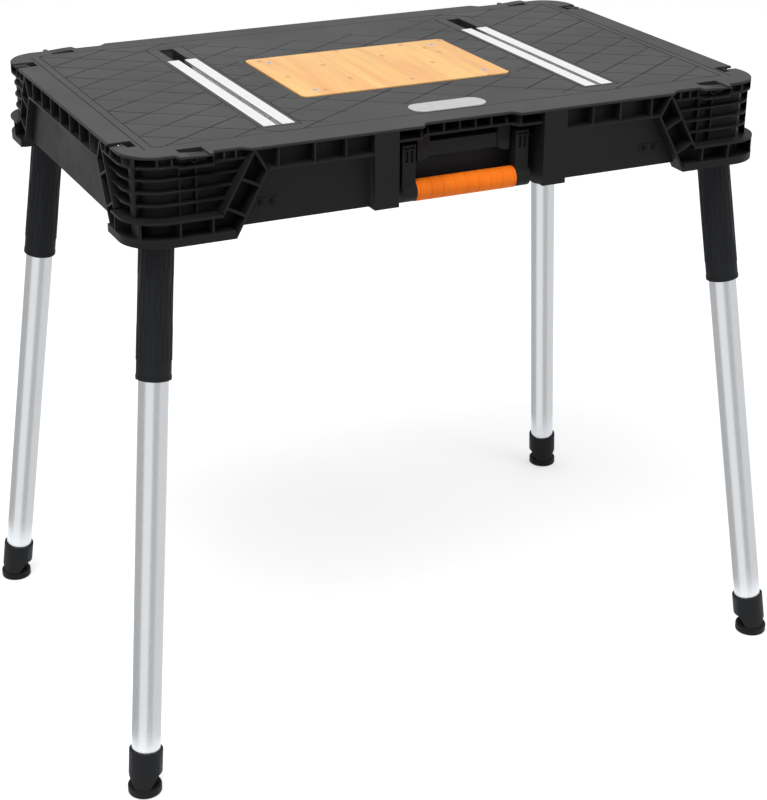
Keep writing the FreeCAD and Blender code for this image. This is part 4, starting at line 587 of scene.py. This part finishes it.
def can_round(edge, width, shortest):
    """Whether an edge is an outer one, long enough to round, between faces that are wide enough."""
    if len(edge.link_faces) != 2 or not edge.is_convex:
        return False
    if edge.calc_face_angle() < ROUNDED_ANGLE or edge.calc_length() < shortest:
        return False
    return all(face_width(face) > ROUNDING_ROOM * width for face in edge.link_faces)


def round_edges(bm, width, shortest):
    """Rounds the outer edges of a merged copy."""
    edges = [edge for edge in bm.edges if can_round(edge, width, shortest)]
    bmesh.ops.bevel(
        bm, geom=edges, offset=width, offset_type="OFFSET", affect="EDGES", segments=2, profile=0.5,
        material=-1, clamp_overlap=False,
    )


def rounded_node(node, width, shortest=SHORTEST_EDGE):
    """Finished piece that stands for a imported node, with its outer edges rounded."""
    bm = merged_copy(node)
    round_edges(bm, width, shortest)
    name = node + "_finished"
    piece = placed_piece(name, mesh_from(bm, name), NODE_BODY[node], SLOTS[node])
    flat_shaded_faces(piece)
    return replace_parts(piece, node)


def dress_node(node, slot_name):
    """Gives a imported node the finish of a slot."""
    materials = frame["nodes"][node].data.materials
    materials.clear()
    materials.append(finish(slot_name))


# Raised lines on the sleeves


def joint_named(name):
    """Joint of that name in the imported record."""
    return next(joint for joint in frame["joints"] if joint["name"] == name)


def leg_line(corner):
    """Pivot of a leg and its direction towards the floor."""
    pivot = Vector(joint_named("leg_fold_" + corner)["pos_m"])
    return pivot, Vector(joint_named("foot_level_" + corner)["axis"]).normalized()


def sleeve_point(corner, distance, turn):
    """Point on a sleeve's surface, by distance below the pivot and angle round the leg."""
    pivot, down = leg_line(corner)
    length = (pivot.z - SLEEVE_FOOT_Z) / -down.z
    radius = SLEEVE_TOP_R + (SLEEVE_BOTTOM_R - SLEEVE_TOP_R) * distance / length
    side = down.cross(Vector((0.0, 1.0, 0.0))).normalized()
    front = down.cross(side)
    return pivot + down * distance + radius * (math.cos(turn) * side + math.sin(turn) * front)


def sleeve_line_points(corner, index):
    """Corners of one raised line: straight down with a slanted jog near each end."""
    pivot, down = leg_line(corner)
    start = (pivot.z - SLEEVE_LINE_TOP_Z) / -down.z
    end = (pivot.z - SLEEVE_FOOT_Z) / -down.z - SLEEVE_LINE_END
    step = 2 * math.pi / SLEEVE_LINE_COUNT
    turn = index * step
    shifted = turn + step / 2
    drop = SLEEVE_JOG_DROPS[index % len(SLEEVE_JOG_DROPS)]
    upper = start + drop
    lower = end - drop
    places = (
        (start, turn), (upper, turn), (upper + SLEEVE_JOG_HEIGHT, shifted),
        (lower - SLEEVE_JOG_HEIGHT, shifted), (lower, turn), (end, turn),
    )
    return [sleeve_point(corner, distance, angle) for distance, angle in places]


def add_sleeve_lines(corner):
    """Raised lines of one sleeve as a single piece."""
    curve = bpy.data.curves.new("sleeve_lines", "CURVE")
    curve.dimensions = "3D"
    curve.bevel_depth = settings().sleeve_line / 2
    curve.bevel_resolution = 1
    curve.use_fill_caps = True
    for index in range(SLEEVE_LINE_COUNT):
        points = sleeve_line_points(corner, index)
        line = curve.splines.new("POLY")
        line.points.add(len(points) - 1)
        for point, place in zip(line.points, points):
            point.co = (*place, 1.0)
    drawn = bpy.data.objects.new("sleeve_lines", curve)
    mesh = bpy.data.meshes.new_from_object(drawn)
    bpy.data.objects.remove(drawn)
    mesh.shade_smooth()
    sleeve = "leg_sleeve_" + corner
    placed_piece("sleeve_lines_" + corner, mesh, NODE_BODY[sleeve], SLOTS[sleeve])


# Springs of the leg locks


def add_lock_spring(corner):
    """Spring of a leg lock, with its outer edges rounded, on a mesh of its own."""
    node = "lock_spring_" + corner
    spring = rounded_node(node, settings().metal_round)
    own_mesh(spring)


# Cross drives of the visible screws, as painted shade: dark crosses on the heads for the shaded recesses


def add_drive_shade_crosses(node, slot_name):
    """Dark crosses on the heads of a node's screws, as one piece: painted shade standing for the cross recesses.
    """
    source = merged_copy(node)
    top = max(vert.co.z for vert in source.verts)
    heads = loose_middles(source)
    source.free()
    bm = bmesh.new()
    long, wide = settings().drive_length, settings().drive_width
    for head in heads:
        for size in ((long, wide, wide), (wide, long, wide)):
            place = Matrix.Translation((head.x, head.y, top - wide / 2 + DRIVE_SHADE_LIFT))
            bmesh.ops.create_cube(bm, size=1.0, matrix=place @ Matrix.Diagonal((*size, 1.0)))
    name = node + "_drive_shade"
    placed_piece(name, mesh_from(bm, name), NODE_BODY[node], slot_name)


def loose_middles(bm):
    """Middle of each separate solid in a bmesh."""
    left = set(bm.verts)
    middles = []
    while left:
        island = [left.pop()]
        for vert in island:
            for edge in vert.link_edges:
                other = edge.other_vert(vert)
                if other in left:
                    left.remove(other)
                    island.append(other)
        middles.append(sum((vert.co for vert in island), Vector()) / len(island))
    return middles


# Operators


class WORKBENCH_OT_deck(bpy.types.Operator):
    """Deck with rounded edges"""

    bl_idname = "workbench.deck"
    bl_label = "Deck"

    def execute(self, context):
        rounded_node("deck", settings().moulding_round, DECK_SHORTEST_EDGE)
        return {"FINISHED"}


class WORKBENCH_OT_walls(bpy.types.Operator):
    """Front, rear and end walls with rounded ribs"""

    bl_idname = "workbench.walls"
    bl_label = "Walls"

    def execute(self, context):
        for node in ("front_wall", "rear_wall", "left_end_wall", "right_end_wall"):
            rounded_node(node, settings().moulding_round)
        return {"FINISHED"}


class WORKBENCH_OT_corner_blocks(bpy.types.Operator):
    """Ribbed corner blocks with rounded ribs"""

    bl_idname = "workbench.corner_blocks"
    bl_label = "Corner blocks"

    def execute(self, context):
        for corner in CORNERS:
            rounded_node("corner_block_" + corner, settings().moulding_round)
        return {"FINISHED"}


class WORKBENCH_OT_deck_inserts(bpy.types.Operator):
    """Board, clamp rails and bare badge plate let into the deck"""

    bl_idname = "workbench.deck_inserts"
    bl_label = "Deck inserts"

    def execute(self, context):
        rounded_node("wood_board", settings().board_round)
        rounded_node("badge_plate", settings().metal_round)
        for node in ("clamp_rail_left", "clamp_rail_right"):
            rounded_node(node, settings().metal_round)
        return {"FINISHED"}


class WORKBENCH_OT_handle(bpy.types.Operator):
    """Carrying handle with its orange grip"""

    bl_idname = "workbench.handle"
    bl_label = "Handle"

    def execute(self, context):
        rounded_node("handle_bail", settings().moulding_round)
        rounded_node("handle_grip", settings().moulding_round)
        return {"FINISHED"}


class WORKBENCH_OT_legs(bpy.types.Operator):
    """Leg heads, sleeves, tubes, foot caps and pads"""

    bl_idname = "workbench.legs"
    bl_label = "Legs"

    def execute(self, context):
        for corner in CORNERS:
            for part in ("leg_head_", "leg_sleeve_", "foot_cap_", "foot_pad_", "lock_plunger_"):
                rounded_node(part + corner, settings().moulding_round)
            dress_node("leg_tube_" + corner, "tube_aluminium")
            add_sleeve_lines(corner)
        return {"FINISHED"}


class WORKBENCH_OT_brackets(bpy.types.Operator):
    """Hinge brackets, springs and fasteners"""

    bl_idname = "workbench.brackets"
    bl_label = "Brackets and fasteners"

    def execute(self, context):
        for corner in CORNERS:
            rounded_node("hinge_bracket_" + corner, settings().metal_round)
            add_lock_spring(corner)
        for node in ("rail_screws", "board_screws", "wall_screws", "hinge_pins", "bracket_screws"):
            dress_node(node, SLOTS[node])
        dress_node("handle_pivot_pins", "dark_screw")
        # Painted shade: dark crosses on the board and rail screw heads stand for their shaded cross recesses
        add_drive_shade_crosses("board_screws", "bracket_metal")
        add_drive_shade_crosses("rail_screws", "dark_screw")
        return {"FINISHED"}


# Stage: floor, light and camera


def add_camera():
    """Camera at the photograph's viewing angle."""
    across = math.cos(CAMERA_ELEVATION)
    back = Vector((
        math.sin(CAMERA_AZIMUTH) * across, -math.cos(CAMERA_AZIMUTH) * across, math.sin(CAMERA_ELEVATION),
    ))
    right = Vector((math.cos(CAMERA_AZIMUTH), math.sin(CAMERA_AZIMUTH), 0.0))
    up = back.cross(right)
    turned_right = math.cos(CAMERA_ROLL) * right + math.sin(CAMERA_ROLL) * up
    turned_up = back.cross(turned_right)
    data = bpy.data.cameras.new("Camera")
    data.lens = CAMERA_LENS
    data.sensor_width = CAMERA_SENSOR
    data.sensor_fit = "AUTO"
    data.shift_x, data.shift_y = CAMERA_SHIFT
    data.clip_end = CAMERA_REACH
    camera = bpy.data.objects.new("Camera", data)
    turn = Matrix((turned_right, turned_up, back)).transposed().to_4x4()
    camera.matrix_world = Matrix.Translation(CAMERA_PLACE) @ turn
    bpy.context.scene.collection.objects.link(camera)
    bpy.context.scene.camera = camera


def add_lamp(name, place, aim, size, power):
    """Soft square lamp at a place, turned to a point."""
    data = bpy.data.lights.new(name, "AREA")
    data.shape = "SQUARE"
    data.size = size
    data.energy = power
    lamp = bpy.data.objects.new(name, data)
    lamp.location = place
    lamp.rotation_euler = (Vector(aim) - Vector(place)).to_track_quat("-Z", "Y").to_euler()
    bpy.context.scene.collection.objects.link(lamp)


def seen_directly(tree):
    """Value that is 1 for rays from the camera, from mirrors and through glass."""
    path = tree.nodes.new("ShaderNodeLightPath")
    first = tree.nodes.new("ShaderNodeMath")
    first.operation = "MAXIMUM"
    join(tree, path, "Is Camera Ray", first, 0)
    join(tree, path, "Is Glossy Ray", first, 1)
    both = tree.nodes.new("ShaderNodeMath")
    both.operation = "MAXIMUM"
    join(tree, first, "Value", both, 0)
    join(tree, path, "Is Transmission Ray", both, 1)
    return both


def light_world(level):
    """World that lights at a plain level and looks white."""
    world = bpy.data.worlds.new("Studio")
    bpy.context.scene.world = world
    world.use_nodes = True
    tree = world.node_tree
    background = tree.nodes["Background"]
    background.inputs["Color"].default_value = (1.0, 1.0, 1.0, 1.0)
    strength = add_node(tree, "ShaderNodeMapRange", To_Min=level, To_Max=1.0)
    join(tree, seen_directly(tree), "Value", strength, "Value")
    join(tree, strength, "Result", background, "Strength")


def floor_material():
    """White floor that keeps the bench's shadow, and is clear when looked at from below."""
    material, tree, shader = new_material("floor white")
    shader.inputs["Base Color"].default_value = (FLOOR_WHITE, FLOOR_WHITE, FLOOR_WHITE, 1.0)
    shader.inputs["Roughness"].default_value = FLOOR_ROUGHNESS
    shader.inputs["Emission Color"].default_value = (1.0, 1.0, 1.0, 1.0)
    glow = add_node(tree, "ShaderNodeMapRange", To_Min=0.0, To_Max=FLOOR_GLOW)
    join(tree, seen_directly(tree), "Value", glow, "Value")
    join(tree, glow, "Result", shader, "Emission Strength")
    side = tree.nodes.new("ShaderNodeNewGeometry")
    cover = add_node(tree, "ShaderNodeMapRange", To_Min=1.0, To_Max=0.0)
    join(tree, side, "Backfacing", cover, "Value")
    join(tree, cover, "Result", shader, "Alpha")
    return material


def stage_object(name, bm, material):
    """Object of the stage for a finished bmesh."""
    mesh = bpy.data.meshes.new(name)
    bm.to_mesh(mesh)
    bm.free()
    mesh.materials.append(material)
    thing = bpy.data.objects.new(name, mesh)
    bpy.context.scene.collection.objects.link(thing)
    return thing


def add_floor():
    """Wide white floor just under the feet."""
    bm = bmesh.new()
    bmesh.ops.create_grid(bm, x_segments=1, y_segments=1, size=FLOOR_HALF)
    bmesh.ops.translate(bm, verts=bm.verts, vec=(0.0, 0.0, -FLOOR_DROP))
    floor = stage_object("floor", bm, floor_material())


def card_material(name, level):
    """Plain card of one grey, for the metal to mirror."""
    material, _, shader = new_material(name)
    shader.inputs["Base Color"].default_value = (0.0, 0.0, 0.0, 1.0)
    shader.inputs["Specular IOR Level"].default_value = 0.0
    shader.inputs["Emission Color"].default_value = (level, level, level, 1.0)
    shader.inputs["Emission Strength"].default_value = 1.0
    return material


def bent_card(foot, head, first, last):
    """Card bent round a leg from one bearing to another, as seen from the camera."""
    axis = (head - foot).normalized()
    towards = Vector(CAMERA_PLACE) - foot
    reach = (towards - towards.dot(axis) * axis).normalized() * CARD_DISTANCE
    reach.rotate(Quaternion(axis, math.radians(first)))
    bm = bmesh.new()
    edge = bm.edges.new((bm.verts.new(foot + reach), bm.verts.new(head + reach)))
    turn = math.radians(last - first)
    bmesh.ops.spin(bm, geom=[*edge.verts, edge], cent=foot, axis=axis, angle=turn, steps=CARD_STEPS)
    return bm


def add_leg_card(name, bm, level):
    """Grey card that is seen only in the metal of a leg."""
    card = stage_object(name, bm, card_material(name, level))
    card.visible_camera = False
    card.visible_diffuse = False
    card.visible_shadow = False


def add_leg_cards():
    """Grey cards round each leg, which give its tube light and dark bands."""
    for corner in CORNERS:
        pad_low, pad_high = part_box("foot_pad_" + corner)
        sleeve_low, sleeve_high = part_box("leg_sleeve_" + corner)
        foot = (pad_low + pad_high) / 2
        head = (sleeve_low + sleeve_high) / 2
        for index, (first, last, level) in enumerate(CARDS):
            card = bent_card(foot, head, first, last)
            add_leg_card(f"card_{corner}_{index}", card, level)


class WORKBENCH_OT_stage(bpy.types.Operator):
    """Floor, soft light and camera"""

    bl_idname = "workbench.stage"
    bl_label = "Stage"

    def execute(self, context):
        add_floor()
        light_world(WORLD_LEVEL)
        add_lamp("key lamp", *KEY_LAMP)
        add_lamp("fill lamp", *FILL_LAMP)
        add_leg_cards()
        add_camera()
        context.scene.view_settings.view_transform = "Standard"
        return {"FINISHED"}


class WORKBENCH_PT_panel(bpy.types.Panel):
    """Settings and pieces of the workbench"""

    bl_label = "Workbench"
    bl_idname = "WORKBENCH_PT_panel"
    bl_space_type = "VIEW_3D"
    bl_region_type = "UI"
    bl_category = "Workbench"

    def draw(self, context):
        for group in (context.scene.workbench_sizes, context.scene.workbench_colours):
            for key in group.__annotations__:
                self.layout.prop(group, key)
        for operator in OPERATORS:
            self.layout.operator(operator.bl_idname)


GROUPS = (WorkbenchSizes, WorkbenchColours)
OPERATORS = (
    WORKBENCH_OT_deck,
    WORKBENCH_OT_walls,
    WORKBENCH_OT_corner_blocks,
    WORKBENCH_OT_deck_inserts,
    WORKBENCH_OT_handle,
    WORKBENCH_OT_legs,
    WORKBENCH_OT_brackets,
    WORKBENCH_OT_stage,
)


def register():
    """Registers the settings, the operators and the panel."""
    for item in GROUPS + OPERATORS + (WORKBENCH_PT_panel,):
        bpy.utils.register_class(item)
    bpy.types.Scene.workbench_sizes = bpy.props.PointerProperty(type=WorkbenchSizes)
    bpy.types.Scene.workbench_colours = bpy.props.PointerProperty(type=WorkbenchColours)


def unregister():
    """Takes the settings, the operators and the panel away again."""
    del bpy.types.Scene.workbench_colours
    del bpy.types.Scene.workbench_sizes
    for item in reversed(GROUPS + OPERATORS + (WORKBENCH_PT_panel,)):
        bpy.utils.unregister_class(item)


def main():
    """Builds every piece and the stage."""
    register()
    bpy.ops.workbench.deck()
    bpy.ops.workbench.walls()
    bpy.ops.workbench.corner_blocks()
    bpy.ops.workbench.deck_inserts()
    bpy.ops.workbench.handle()
    bpy.ops.workbench.legs()
    bpy.ops.workbench.brackets()
    bpy.ops.workbench.stage()


if __name__ == "__main__":
    main()
